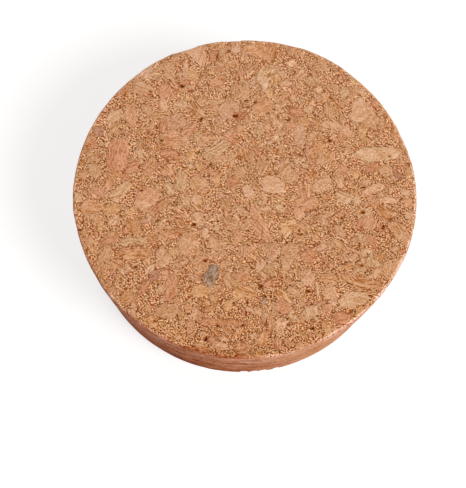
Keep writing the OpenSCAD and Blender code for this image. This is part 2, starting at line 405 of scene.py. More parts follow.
FACE_PITS = (
    Pit(-15.9, 26.9, 1.6, 1.1, -20, 1.0),
    Pit(-17.2, 28.8, 0.9, 0.6, 70, 0.6),
    Pit(-13.6, 25.6, 1.9, 0.9, 0, 0.6),
    Pit(-29.4, 24.2, 0.7, 1.8, 0, 0.6),
    Pit(-30.1, 20.8, 1.5, 0.7, 20, 0.6),
    Pit(-21.4, 16.0, 1.8, 0.7, 85, 0.6),
    Pit(-6.1, 28.9, 0.9, 0.8, 0, 0.5),
    Pit(-7.8, 35.2, 2.4, 0.6, 88, 0.7),
    Pit(-2.8, 19.6, 1.5, 1.0, 0, 1.0),
    Pit(-4.7, 18.3, 1.0, 0.7, 0, 0.6),
    Pit(-10.9, 18.3, 1.8, 0.9, 75, 0.9),
    Pit(0.0, 22.0, 0.7, 0.6, 0, 1.0),
    Pit(7.3, 19.9, 1.8, 0.5, -60, 0.8),
    Pit(8.3, 18.7, 1.6, 0.4, -60, 0.7),
    Pit(9.8, 19.1, 1.0, 0.8, 0, 1.0),
    Pit(5.0, 20.6, 0.9, 0.5, 20, 0.7),
    Pit(19.7, 25.2, 0.9, 0.7, -30, 0.7),
    Pit(23.8, 30.0, 0.8, 0.7, 0, 0.5),
    Pit(19.7, 14.1, 1.0, 0.9, 0, 1.0),
    Pit(22.0, 18.7, 1.4, 0.5, -70, 0.5),
    Pit(30.4, 22.6, 1.4, 0.6, -50, 0.5),
    Pit(-23.9, -0.4, 0.8, 0.6, 0, 0.9),
    Pit(-20.0, 12.5, 1.0, 0.8, 0, 0.9),
    Pit(-20.1, 10.3, 0.9, 0.6, 0, 0.6),
    Pit(-24.8, 5.7, 2.2, 0.6, 80, 0.6),
    Pit(-28.3, 4.4, 1.0, 0.6, 0, 0.6),
    Pit(-32.3, 2.5, 1.0, 0.6, 60, 0.5),
    Pit(-38.0, -4.1, 0.8, 0.6, 0, 0.7),
    Pit(-19.8, -7.7, 1.0, 0.7, 40, 0.8),
    Pit(-31.9, -8.6, 1.0, 0.8, 0, 0.6),
    Pit(-28.4, -6.8, 1.0, 0.7, 0, 0.6),
    Pit(-38.0, -10.8, 1.6, 0.6, 10, 0.9),
    Pit(5.8, 5.0, 1.2, 0.7, 20, 0.7),
    Pit(7.3, 5.0, 1.0, 0.6, -15, 0.8),
    Pit(-11.1, 9.8, 1.4, 0.8, 0, 0.7),
    Pit(-0.9, 9.0, 1.0, 0.7, 50, 0.6),
    Pit(-8.4, 6.8, 1.0, 0.7, 0, 0.8),
    Pit(-11.4, -8.3, 1.3, 0.9, 0, 1.0),
    Pit(0.0, -7.5, 0.8, 0.6, 0, 0.9),
    Pit(13.1, 10.0, 0.8, 0.5, 0, 1.0),
    Pit(13.3, -9.8, 1.0, 0.7, 30, 0.9),
    Pit(15.4, -3.8, 1.0, 0.7, 0, 0.6),
    Pit(22.8, -5.4, 1.0, 0.7, 0, 0.6),
    Pit(-5.2, -1.6, 1.4, 0.4, 35, 0.7),
    Pit(27.7, -3.7, 1.2, 0.9, 0, 1.0),
    Pit(27.3, -7.5, 1.6, 0.7, 75, 0.6),
    Pit(32.4, -7.3, 1.2, 0.8, 60, 0.8),
    Pit(34.7, 3.9, 1.1, 0.6, 80, 0.6),
    Pit(36.2, -3.4, 1.0, 0.6, 0, 0.6),
    Pit(33.9, -5.2, 1.2, 0.8, 0, 0.7),
    Pit(15.1, 5.0, 0.8, 0.6, 0, 0.5),
    Pit(-24.3, -19.3, 1.3, 0.8, 20, 1.0),
    Pit(-19.1, -32.0, 1.2, 0.7, 0, 0.7),
    Pit(-23.1, -23.0, 1.2, 0.6, 10, 0.6),
    Pit(-16.1, -28.7, 1.5, 0.3, 40, 0.5),
    Pit(4.5, -22.7, 1.1, 0.9, 0, 1.0),
    Pit(-8.4, -17.1, 1.2, 0.9, 0, 1.0),
    Pit(-12.3, -26.4, 1.0, 0.8, 0, 0.6),
    Pit(12.4, -29.0, 1.0, 0.7, 0, 0.6),
    Pit(11.0, -31.6, 1.0, 0.7, 0, 0.8),
    Pit(0.9, -32.2, 0.9, 0.7, 0, 0.9),
    Pit(-7.4, -35.7, 1.4, 0.7, 60, 0.9),
    Pit(5.2, -24.9, 1.5, 0.7, 10, 0.8),
    Pit(15.5, -23.4, 1.3, 0.9, 0, 0.9),
    Pit(27.5, -16.8, 1.2, 0.9, 0, 0.8),
    Pit(29.5, -24.0, 1.0, 0.4, 0, 0.8),
    Pit(25.3, -27.8, 1.2, 0.7, 0, 0.7),
    Pit(22.8, -23.4, 0.8, 0.5, 60, 0.7),
)


# Where the plug strays from a true circle: direction from its axis in degrees,
# half the stretch it covers in degrees, and how far it stands out in millimetres.
Stray = namedtuple("Stray", "turn spread proud")

STRAYS = (
    Stray(0, 30, 0.26),
    Stray(64, 12, 0.24),
    Stray(98, 20, -0.16),
    Stray(146, 22, -0.10),
    Stray(203, 16, -0.25),
)

# Where the wide face's rim is worn rounder: direction from the axis and half its
# stretch in degrees, and the width and depth of the wear in millimetres.
Wear = namedtuple("Wear", "turn spread width depth")

FACE_WEAR = (
    Wear(-57, 22, 1.5, 0.55),
    Wear(-116, 26, 0.9, 0.25),
    Wear(-140, 10, 0.8, 0.3),
    Wear(113, 5, 1.0, 0.35),
    Wear(96, 4, 0.8, 0.3),
    Wear(20, 8, 0.7, 0.25),
    Wear(170, 12, 0.7, 0.2),
)

BASE_WEAR = (
    Wear(-87, 1.6, 1.0, 0.7),
    Wear(-83, 1.1, 0.9, 0.5),
    Wear(-79.5, 1.4, 1.0, 0.6),
    Wear(-75, 1.0, 0.8, 0.5),
    Wear(-34, 1.5, 0.8, 0.5),
    Wear(40, 2.0, 1.0, 0.6),
    Wear(131, 1.6, 0.9, 0.6),
)


# ---------------------------------------------------------------------------
# Settings


def colour_property(name, description, default):
    """A colour setting, given and kept as a display colour."""
    return bpy.props.FloatVectorProperty(
        name=name,
        description=description,
        subtype="COLOR_GAMMA",
        size=3,
        min=0.0,
        max=1.0,
        default=default,
    )


def length_property(name, description, default):
    """A length setting in metres."""
    return bpy.props.FloatProperty(
        name=name,
        description=description,
        subtype="DISTANCE",
        unit="LENGTH",
        min=0.0,
        default=default,
        precision=5,
    )


class StopperSettings(bpy.types.PropertyGroup):
    """Mesh fineness, relief and granule mix of the plug."""

    face_steps: bpy.props.IntProperty(
        name="Face steps",
        description="Vertices round the wide face, a multiple of eight",
        min=80,
        max=1200,
        default=920,
    )
    rim_rows: bpy.props.IntProperty(
        name="Rim rows",
        description="Rows of faces across each eased rim",
        min=2,
        max=12,
        default=5,
    )
    wall_rows: bpy.props.IntProperty(
        name="Wall rows",
        description="Rows of faces down the tapered wall",
        min=4,
        max=80,
        default=46,
    )
    base_rim_r: length_property("Base rim radius", "Radius of the narrow face's eased rim", 0.8 * MM)
    wall_sway: length_property("Wall sway", "How far the wall strays inwards from a true cone", 0.15 * MM)
    crumb_depth: length_property(
        "Crumb depth", "How far the fine crumb lies below the granules' cut faces", 0.14 * MM
    )
    pit_depth: length_property("Pit depth", "Depth of the pits where a crumb has dropped out", 0.55 * MM)
    lean: bpy.props.FloatVectorProperty(
        name="Lean",
        description="How far the narrow face's middle lies off the wide face's axis, in X and Y",
        subtype="XYZ",
        unit="LENGTH",
        size=2,
        default=(-0.40 * MM, -0.20 * MM),
        precision=5,
    )
    granule_seed: bpy.props.IntProperty(
        name="Granule seed",
        description="Seed of the granules and pits that are scattered at random",
        default=7,
    )


class CorkColours(bpy.types.PropertyGroup):
    """Colours of the cork, and the painted shade and painted light on its wall."""

    crumb_light: colour_property("Light crumb", "Colour of the fine crumb", (0.832, 0.605, 0.384))
    crumb_warm: colour_property("Warm crumb", "Colour of the redder bits of the crumb", (0.844, 0.547, 0.338))
    # The wall's tan and rosy colours are partly the sanded cork's own and partly painted reddish reflected
    # light
    wall_tan: colour_property("Tan wall", "Colour of the sanded wall", (0.80, 0.56, 0.40))
    wall_rose: colour_property("Rosy wall", "Colour of the rosy streaks of the wall", (0.80, 0.545, 0.43))
    # Painted shade and painted reddish reflected light: the colour of the wall's front-left stretch
    painted_wall_shade: colour_property("Brown wall", "Colour of the stretch that has browned", (0.76, 0.44, 0.28))
    # Painted light: the pale colour of the wall by the rim on the side that faces the key lamp
    painted_lit_rim: colour_property("Bare rim", "Colour of the pale stretch by the rim", (0.83, 0.625, 0.52))


class StageSettings(bpy.types.PropertyGroup):
    """Camera, lamps and floor."""

    camera_distance: length_property("Camera distance", "From the middle of the wide face", 0.36)
    camera_elevation: bpy.props.FloatProperty(
        name="Camera elevation",
        description="Angle of the camera above the wide face",
        subtype="ANGLE",
        default=math.radians(68.29),
    )
    camera_roll: bpy.props.FloatProperty(
        name="Camera roll",
        description="Turn of the camera about its line of sight",
        subtype="ANGLE",
        default=math.radians(-2.16),
    )
    focal_pixels: bpy.props.FloatProperty(
        name="Focal length",
        description="Focal length in pixels of the render",
        subtype="PIXEL",
        default=1544.4,
    )
    floor_size: length_property("Floor size", "Side of the square floor", 6.0)


# ---------------------------------------------------------------------------
# Sizes of the plug


Ring = namedtuple("Ring", "radius height")


def plug_rings(settings):
    """The plug's section as rings, from the edge of the flat wide face down to that of the narrow face.

    Returns the rings, and the numbers of the first and the last ring of the tapered wall.
    """
    low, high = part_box(NODE)
    corners = np.array([v.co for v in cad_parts[NODE].data.vertices])
    reach = np.hypot(corners[:, 0], corners[:, 1])
    wide_r = high.x
    face_flat_r = reach[corners[:, 2] > high.z - TOUCH].max()
    base_flat_r = reach[corners[:, 2] < low.z + TOUCH].max()
    face_rim_r = wide_r - face_flat_r
    base_rim_r = settings.base_rim_r
    face_centre = np.array((face_flat_r, high.z - face_rim_r))
    base_centre = np.array((base_flat_r, low.z + base_rim_r))
    slant = face_centre - base_centre
    lean = math.acos((base_rim_r - face_rim_r) / np.linalg.norm(slant))
    wall_outward = math.atan2(slant[1], slant[0]) - lean

    rings = []
    for k in range(settings.rim_rows + 1):
        turn = math.radians(90) + (wall_outward - math.radians(90)) * k / settings.rim_rows
        rings.append(face_centre + face_rim_r * np.array((math.cos(turn), math.sin(turn))))
    first = len(rings) - 1
    outward = np.array((math.cos(wall_outward), math.sin(wall_outward)))
    wall_foot = base_centre + base_rim_r * outward
    for k in range(1, settings.wall_rows + 1):
        rings.append(rings[first] + (wall_foot - rings[first]) * k / settings.wall_rows)
    last = len(rings) - 1
    for k in range(1, settings.rim_rows + 1):
        turn = wall_outward + (math.radians(-90) - wall_outward) * k / settings.rim_rows
        rings.append(base_centre + base_rim_r * np.array((math.cos(turn), math.sin(turn))))
    return [Ring(float(r), float(z)) for r, z in rings], first, last


# ---------------------------------------------------------------------------
# The plug's shell


def vertex_places(mesh):
    """Vertex coordinates as rows of an array, in metres."""
    flat = np.empty(len(mesh.vertices) * 3)
    mesh.vertices.foreach_get("co", flat)
    return flat.reshape(-1, 3)


def select_vertices(piece, chosen):
    """In edit mode, selects just the chosen vertices, given as an array of true and false."""
    bpy.ops.mesh.select_all(action="DESELECT")
    bpy.ops.object.mode_set(mode="OBJECT")
    piece.data.vertices.foreach_set("select", chosen)
    bpy.ops.object.mode_set(mode="EDIT")
    bpy.ops.mesh.select_mode(type="VERT")


def on_ring(piece, ring):
    """Which vertices lie on a ring."""
    bpy.ops.object.mode_set(mode="OBJECT")
    places = vertex_places(piece.data)
    reach = np.hypot(places[:, 0], places[:, 1])
    bpy.ops.object.mode_set(mode="EDIT")
    return (abs(reach - ring.radius) < 5 * TOUCH) & (abs(places[:, 2] - ring.height) < 5 * TOUCH)


def draw_ring_on(ring, above):
    """Extrudes the selected ring of edges to the next ring down."""
    bpy.ops.mesh.extrude_edges_move(
        TRANSFORM_OT_translate={"value": (0, 0, ring.height - above.height)}
    )
    widening = ring.radius / above.radius
    bpy.ops.transform.resize(value=(widening, widening, 1), center_override=(0, 0, 0))


def halve_ring(piece, ring, steps):
    """Dissolves every second vertex of an open ring, so that the rows below it are coarser."""
    ringed = on_ring(piece, ring)
    bpy.ops.object.mode_set(mode="OBJECT")
    places = vertex_places(piece.data)
    bpy.ops.object.mode_set(mode="EDIT")
    step = np.round(np.arctan2(places[:, 1], places[:, 0]) / (2 * math.pi) * steps).astype(int)
    select_vertices(piece, ringed & (step % 2 == 1))
    bpy.ops.mesh.dissolve_verts()
    select_vertices(piece, on_ring(piece, ring))


def make_shell(settings):
    """The closed, undented shell of the plug, and the wall's first and last ring."""
    rings, first, last = plug_rings(settings)
    steps = settings.face_steps
    bpy.ops.object.select_all(action="DESELECT")
    bpy.ops.mesh.primitive_circle_add(
        vertices=steps,
        radius=rings[0].radius,
        fill_type="NOTHING",
        location=(0, 0, rings[0].height),
    )
    piece = bpy.context.active_object
    piece.name = "cork_stopper"
    piece.data.name = "cork_stopper"
    bpy.ops.object.transform_apply(location=True, rotation=True, scale=True)
    bpy.ops.object.mode_set(mode="EDIT")
    bpy.ops.mesh.select_mode(type="VERT")
    bpy.ops.mesh.select_all(action="SELECT")
    for number in range(1, len(rings)):
        draw_ring_on(rings[number], rings[number - 1])
        if number == first:
            halve_ring(piece, rings[number], steps)
    bpy.ops.mesh.fill_grid(span=steps // 8)
    select_vertices(piece, on_ring(piece, rings[0]))
    bpy.ops.mesh.fill_grid(span=steps // 4)
    bpy.ops.mesh.select_all(action="SELECT")
    bpy.ops.mesh.normals_make_consistent(inside=False)
    bpy.ops.mesh.select_all(action="DESELECT")
    bpy.ops.object.mode_set(mode="OBJECT")
    return piece, rings, first, last


# ---------------------------------------------------------------------------
# Granule fields


def polygon_depth(x, y, corners):
    """How far each point lies inside a polygon, in millimetres. Outside it, the depth is negative."""
    nearest = np.full(len(x), 1e3)
    inside = np.zeros(len(x), bool)
    for (ax, ay), (bx, by) in zip(corners, corners[1:] + corners[:1]):
        run, rise = bx - ax, by - ay
        along = (((x - ax) * run + (y - ay) * rise) / (run**2 + rise**2)).clip(0, 1)
        nearest = np.minimum(nearest, np.hypot(x - ax - along * run, y - ay - along * rise))
        level = (ay > y) != (by > y)
        inside ^= level & (x - ax < run * (y - ay) / (rise or 1.0))
    return np.where(inside, nearest, -nearest)


class GranuleField:
    """What each vertex of one surface knows of the granule it lies in, or next to."""

    NEIGHBOUR_GAP = 0.06
    REACH = 2.0

    def __init__(self, places):
        self.x, self.y = places
        count = len(self.x)
        self.depth = np.full(count, -self.REACH)
        self.tint = np.tile(TONES["tan"], (count, 1))
        self.fibre = np.zeros((count, 3))
        self.strength = np.zeros(count)
        self.crisp = np.zeros(count)

    def add(self, chip, chance, crisp=0.0):
        """Cuts a granule's face into the surface, behind those already there."""
        across, along = np.array(chip.corners).T
        near = (self.x > across.min() - self.REACH) & (self.x < across.max() + self.REACH)
        near &= (self.y > along.min() - self.REACH) & (self.y < along.max() + self.REACH)
        near = np.nonzero(near)[0]
        shade = chance.uniform(-0.02, 0.02)
        phase = chance.uniform(0, 100)
        bow = chance.uniform(-0.06, 0.06)
        if not len(near):
            return
        depth = polygon_depth(self.x[near], self.y[near], chip.corners)
        depth = np.minimum(depth, -self.depth[near] - self.NEIGHBOUR_GAP)
        wins = depth > self.depth[near]
        taken = near[wins]
        turn = math.radians(chip.turn)
        dx, dy = self.x[taken] - across.mean(), self.y[taken] - along.mean()
        u = dx * math.cos(turn) + dy * math.sin(turn)
        v = -dx * math.sin(turn) + dy * math.cos(turn)
        self.depth[taken] = depth[wins]
        self.tint[taken] = [shade + c for c in TONES[chip.tone]]
        self.fibre[taken] = np.stack((v + bow * u**2, u, np.full(len(taken), phase)), axis=1)
        self.strength[taken] = chip.fibres
        self.crisp[taken] = crisp

    def inside(self, x, y):
        """Depth at the vertex nearest to a point."""
        nearest = np.argmin((self.x - x) ** 2 + (self.y - y) ** 2)
        return self.depth[nearest]


# The tones that scattered granules are drawn from, the common ones more than once
FILLER_TONES = (
    ["pale"] * 2 + ["peach"] * 2 + ["olive"] * 3 + ["tan"] * 12 + ["yellow"] * 2
    + ["orange"] * 7 + ["salmon"] * 5 + ["rose"] * 3 + ["rust"] * 4
)
FILLER_FIBRES = (0.2, 0.4, 0.7, 0.9, 1.0)


def random_corners(chance, x, y, length, width, turn):
    """The corners of a rough cut face round a point, turned by degrees."""
    count = chance.randint(5, 8)
    start = chance.uniform(0, 360)
    turn = math.radians(turn)
    corners = []
    for k in range(count):
        angle = math.radians(start + 360 * (k + chance.uniform(-0.32, 0.32)) / count)
        reach = chance.uniform(0.8, 1.12)
        u = reach * length / 2 * math.cos(angle)
        v = reach * width / 2 * math.sin(angle)
        across = x + u * math.cos(turn) - v * math.sin(turn)
        along = y + u * math.sin(turn) + v * math.cos(turn)
        corners.append((across, along))
    return tuple(corners)


def filler_chip(chance, x, y, length, width, turn):
    """A granule of random outline and tone."""
    corners = random_corners(chance, x, y, length, width, turn)
    return Chip(chance.choice(FILLER_TONES), turn, chance.choice(FILLER_FIBRES), corners)


# Each granule that stands out on the wide face has a seed of its own, from this one up
FIRST_CHIP_SEED = 100

# How many granules are scattered on each surface, and the length in millimetres that they
# shrink to
FACE_FILLERS, FACE_SMALLEST = 1500, 1.2
BASE_FILLERS, BASE_SMALLEST = 1200, 2.0
WALL_FILLERS, WALL_SMALLEST = 1600, 2.4
# How much longer the first ones are, in millimetres, on a face and on the wall
FACE_SHRINK, WALL_SHRINK = 3.4, 7.0
# The least and the most that a length is multiplied by, at random
LENGTH_SPREAD = (0.75, 1.3)
# A granule is left out where its middle lies nearer to another than this share of its width
CLEARANCE = 0.25
# How plainly the fibres of the wall show between its granules
BETWEEN_FIBRES = 0.6

# How many pits are scattered on each surface, and how far from the axis of a face
FACE_STRAY_PITS, FACE_PIT_REACH = 24, 39.0
BASE_STRAY_PITS, BASE_PIT_REACH = 90, 35.0
WALL_STRAY_PITS = 50


def scatter_on_disc(field, chance, radius, count, smallest):
    """Fills what is left of a round face with smaller and smaller granules."""
    for number in range(count):
        reach = radius * math.sqrt(chance.random())
        turn = chance.uniform(0, 2 * math.pi)
        x, y = reach * math.cos(turn), reach * math.sin(turn)
        length = chance.uniform(*LENGTH_SPREAD) * (smallest + FACE_SHRINK * (1 - number / count) ** 2)
        width = length * chance.uniform(0.45, 0.95)
        chip = filler_chip(chance, x, y, length, width, chance.uniform(0, 180))
        if field.inside(x, y) < -CLEARANCE * width:
            field.add(chip, chance)


def scatter_on_wall(field, chance, girth, height, count):
    """Fills the wall with granules that the pressing has laid flat."""
    for number in range(count):
        x, y = chance.uniform(-girth / 2, girth / 2), chance.uniform(0, height)
        length = chance.uniform(*LENGTH_SPREAD) * (WALL_SMALLEST + WALL_SHRINK * (1 - number / count) ** 2)
        width = length * chance.uniform(0.25, 0.55)
        chip = filler_chip(chance, x, y, length, width, chance.uniform(-14, 14))
        if field.inside(x, y) < -CLEARANCE * width:
            for shift in (-girth, 0, girth):
                corners = tuple((cx + shift, cy) for cx, cy in chip.corners)
                field.add(chip._replace(corners=corners), random.Random(x + 1000 * y), 0.5)


def pit_weight(x, y, pits):
    """How deep each point lies in a pit, from 0 to 1."""
    weight = np.zeros(len(x))
    for pit in pits:
        turn = math.radians(pit.turn)
        dx, dy = x - pit.x, y - pit.y
        u = (dx * math.cos(turn) + dy * math.sin(turn)) / (pit.length / 2)
        v = (-dx * math.sin(turn) + dy * math.cos(turn)) / (pit.width / 2)
        weight = np.maximum(weight, pit.dark * (1.4 - 1.1 * np.hypot(u, v)).clip(0, 1))
    return weight


def scattered_pits(chance, radius, count):
    """Small pits anywhere on a round face."""
    pits = []
    for _ in range(count):
        reach = radius * math.sqrt(chance.random())
        turn = chance.uniform(0, 2 * math.pi)
        length = chance.uniform(0.6, 1.1)
        width = length * chance.uniform(0.5, 0.9)
        x, y = reach * math.cos(turn), reach * math.sin(turn)
        pits.append(Pit(x, y, length, width, chance.uniform(0, 180), chance.uniform(0.4, 0.9)))
    return pits


def wall_pits(chance, girth, height, count):
    """Small pits anywhere on the wall, drawn out round it."""
    pits = []
    for _ in range(count):
        x, y = chance.uniform(-girth / 2, girth / 2), chance.uniform(1.5, height - 1.5)
        length = chance.uniform(1.2, 2.6)
        width = chance.uniform(0.8, 1.2)
        pits.append(Pit(x, y, length, width, chance.uniform(-15, 15), chance.uniform(0.3, 0.8)))
    return pits


# In how many steps a vertex group's weights are stored
WEIGHT_LEVELS = 100


def write_attribute(mesh, name, kind, values):
    """Stores one value per vertex."""
    layer = mesh.attributes.new(name=name, type=kind, domain="POINT")
    key = {"FLOAT": "value", "FLOAT_VECTOR": "vector"}[kind]
    layer.data.foreach_set(key, np.asarray(values, np.float32).ravel())


def write_group(piece, name, weights):
    """Stores weights as a vertex group."""
    group = piece.vertex_groups.new(name=name)
    levels = np.round(weights * WEIGHT_LEVELS).astype(int)
    order = np.argsort(levels, kind="stable")
    bounds = np.searchsorted(levels[order], range(1, WEIGHT_LEVELS + 2))
    for level in range(1, WEIGHT_LEVELS + 1):
        chosen = order[bounds[level - 1]:bounds[level]]
        if len(chosen):
            group.add(chosen.tolist(), level / WEIGHT_LEVELS, "REPLACE")


def smooth_step(values, low, high):
    """0 below low, 1 above high, and smooth between."""
    t = ((values - low) / (high - low)).clip(0, 1)
    return t * t * (3 - 2 * t)


def unrolled(places, flat_reach, level):
    """Places on a round face, with its rim laid flat round it."""
    reach = np.hypot(places[:, 0], places[:, 1])
    over = np.hypot(reach - flat_reach, places[:, 2] - level) * (reach > flat_reach)
    scale = np.where(over > 0, (flat_reach + over) / np.maximum(reach, 1e-6), 1.0)
    return places[:, 0] * scale, places[:, 1] * scale


def face_granules(places, rings, chance):
    """The wide face's granules, and how deep each place lies in a pit."""
    flat_reach = rings[0].radius / MM
    field = GranuleField(unrolled(places, flat_reach, rings[0].height / MM))
    for number, chip in enumerate(FACE_CHIPS):
        field.add(chip, random.Random(FIRST_CHIP_SEED + number), crisp=1.0)
    scatter_on_disc(field, chance, flat_reach, FACE_FILLERS, FACE_SMALLEST)
    pits = list(FACE_PITS) + scattered_pits(chance, FACE_PIT_REACH, FACE_STRAY_PITS)
    return field, pit_weight(field.x, field.y, pits)


def base_granules(places, rings, chance):
    """The narrow face's granules, and how deep each place lies in a pit."""
    flat_reach = rings[-1].radius / MM
    field = GranuleField(unrolled(places, flat_reach, 0.0))
    scatter_on_disc(field, chance, flat_reach, BASE_FILLERS, BASE_SMALLEST)
    pits = scattered_pits(chance, BASE_PIT_REACH, BASE_STRAY_PITS)
    return field, pit_weight(field.x, field.y, pits)


def wall_granules(places, rings, first, last, chance):
    """The wall's granules, with the wall laid flat, and how deep each place lies in a pit."""
    middle = (rings[first].radius + rings[last].radius) / 2 / MM
    girth = 2 * math.pi * middle
    height = rings[0].height / MM
    field = GranuleField((np.arctan2(places[:, 1], places[:, 0]) * middle, places[:, 2]))
    field.fibre[:, 0] = field.y
    field.fibre[:, 1] = field.x
    field.strength[:] = BETWEEN_FIBRES
    scatter_on_wall(field, chance, girth, height, WALL_FILLERS)
    pits = wall_pits(chance, girth, height, WALL_STRAY_PITS)
    return field, pit_weight(field.x, field.y, pits)


def lay_granules(piece, rings, first, last, settings):
    """Works out the granules on all three surfaces and stores them on the vertices."""
    mesh = piece.data
    places = vertex_places(mesh) / MM
    reach = np.hypot(places[:, 0], places[:, 1])
    height = places[:, 2]
    top = rings[0].height / MM
    on_face = height > (rings[0].height + rings[first].height) / 2 / MM
    on_base = height < rings[last].height / 2 / MM
    on_wall = ~(on_face | on_base)
    chance = random.Random(settings.granule_seed)
    surfaces = (
        (on_face, *face_granules(places[on_face], rings, chance)),
        (on_base, *base_granules(places[on_base], rings, chance)),
        (on_wall, *wall_granules(places[on_wall], rings, first, last, chance)),
    )

    count = len(mesh.vertices)
    depth, strength, crisp, pit = np.zeros((4, count))
    tint, fibre = np.zeros((2, count, 3))
    for mask, field, pitted in surfaces:
        depth[mask] = field.depth
        tint[mask] = field.tint
        fibre[mask] = field.fibre
        strength[mask] = field.strength
        crisp[mask] = field.crisp
        pit[mask] = pitted
    past_face = np.where(on_wall, top - height, reach - rings[0].radius / MM)
    past_base = np.where(on_wall, height, reach - rings[-1].radius / MM)
    past_nearer = np.minimum(past_face, past_base)
    past_rim = np.where(on_face, past_face, np.where(on_base, past_base, past_nearer))
    sanded = smooth_step(past_rim, -0.2, 0.5)

    write_attribute(mesh, "granule_depth", "FLOAT", depth.clip(-1.5, 1.5))
    write_attribute(mesh, "granule_tint", "FLOAT_VECTOR", tint)
    write_attribute(mesh, "fibre_place", "FLOAT_VECTOR", fibre)
    write_attribute(mesh, "fibre_strength", "FLOAT", strength)
    write_attribute(mesh, "crisp", "FLOAT", crisp)
    write_attribute(mesh, "pit", "FLOAT", pit)
    write_attribute(mesh, "past_rim", "FLOAT", past_rim.clip(-4, 4))

    crumb = 1 - smooth_step(depth, -0.15, 0.15)
    write_group(piece, "crumb", crumb * (1 - 0.75 * sanded))
    write_group(piece, "pit", pit)
    write_group(piece, "wall", smooth_step(past_rim, 0.0, 1.5))


# ---------------------------------------------------------------------------
# Relief


def press_in(piece, group, depth, texture=None):
    """Moves the vertices of a group inwards by up to depth, unevenly where a texture is given."""
    relief = piece.modifiers.new(group, "DISPLACE")
    relief.vertex_group = group
    relief.direction = "NORMAL"
    relief.texture_coords = "LOCAL"
    if texture is None:
        relief.strength = -depth
        relief.mid_level = 0.0
    else:
        relief.texture = texture
        relief.strength = depth
        relief.mid_level = 1.0
    bpy.ops.object.modifier_apply(modifier=relief.name)


def push(piece, axis, amounts):
    """Moves each vertex along an axis by an amount of its own, in metres."""
    for sign in (1, -1):
        furthest = (sign * amounts).max()
        if furthest > TOUCH:
            write_group(piece, "push", (sign * amounts / furthest).clip(0, 1))
            shift = piece.modifiers.new("push", "DISPLACE")
            shift.vertex_group = "push"
            shift.direction = axis
            shift.strength = sign * furthest
            shift.mid_level = 0.0
            bpy.ops.object.modifier_apply(modifier=shift.name)
            piece.vertex_groups.remove(piece.vertex_groups["push"])


def turn_between(angle, turn):
    """Degrees from each angle, given in radians, to a turn in degrees, the short way round."""
    return abs((np.degrees(angle) - turn + 180) % 360 - 180)


def wear_depth(angle, inset, wears):
    """Depth of the wear at each vertex in millimetres, from its direction and its distance inside the rim."""
    depth = np.zeros(len(angle))
    for wear in wears:
        share = 1 - smooth_step(turn_between(angle, wear.turn), 0.45 * wear.spread, wear.spread)
        slope = (1 - inset / wear.width).clip(0, 1) ** 2
        depth = np.maximum(depth, wear.depth * share * slope)
    return depth


def set_out_of_true(piece, rings, settings):
    """Leans the plug, takes it a little out of round and wears its rims.

    The bands are the stretches, in millimetres, over which each of these fades out.
    """
    round_band, face_band, base_band = 8.0, 2.5, 2.0
    places = vertex_places(piece.data) / MM
    reach = np.hypot(places[:, 0], places[:, 1])
    angle = np.arctan2(places[:, 1], places[:, 0])
    top = rings[0].height / MM
    foot = 1 - places[:, 2] / top
    proud = np.zeros(len(places))
    for stray in STRAYS:
        share = 1 - smooth_step(turn_between(angle, stray.turn), 0.5 * stray.spread, stray.spread)
        proud += stray.proud * share
    level_radius = rings[0].radius / MM + (rings[-1].radius - rings[0].radius) / MM * foot
    proud *= smooth_step(reach, level_radius - round_band, level_radius) * (1 - 0.6 * foot)
    face_reach = CAD_HIGH.x / MM
    base_reach = (rings[-1].radius + settings.base_rim_r) / MM
    face_wear = wear_depth(angle, face_reach - reach, FACE_WEAR)
    face_wear *= smooth_step(places[:, 2], top - face_band, top)
    base_wear = wear_depth(angle, base_reach - reach, BASE_WEAR)
    base_wear *= smooth_step(-places[:, 2], -base_band, 0)
    proud -= 0.6 * face_wear * (reach > level_radius) + 0.7 * base_wear
    push(piece, "X", proud * np.cos(angle) * MM + settings.lean[0] * foot)
    push(piece, "Y", proud * np.sin(angle) * MM + settings.lean[1] * foot)
    push(piece, "Z", (base_wear - face_wear) * MM)


def cloud_texture(name, size, depth):
    """A soft, irregular pattern for relief."""
    texture = bpy.data.textures.new(name, "CLOUDS")
    texture.noise_scale = size
    texture.noise_depth = depth
    texture.noise_basis = "ORIGINAL_PERLIN"
    return texture


def crumb_texture(name, size):
    """Rounded bits with narrow gaps."""
    texture = bpy.data.textures.new(name, "VORONOI")
    texture.noise_scale = size
    texture.distance_metric = "DISTANCE"
    texture.weight_1 = -1.0
    texture.weight_2 = 1.0
    texture.noise_intensity = 1.6
    return texture


def carve_relief(piece, rings, settings):
    """Gives the shell its uneven wall, recessed crumb, pits and worn rims."""
    bpy.ops.object.select_all(action="DESELECT")
    piece.select_set(True)
    bpy.context.view_layer.objects.active = piece
    slow_sway = cloud_texture("slow sway", size=7 * MM, depth=3)
    crumb_bits = crumb_texture("crumb bits", size=0.9 * MM)
    press_in(piece, "wall", settings.wall_sway, slow_sway)
    press_in(piece, "crumb", settings.crumb_depth, crumb_bits)
    press_in(piece, "pit", settings.pit_depth)
    set_out_of_true(piece, rings, settings)
    piece.vertex_groups.clear()
    bpy.ops.object.shade_smooth()


# ---------------------------------------------------------------------------
# Unwrapping for texture baking


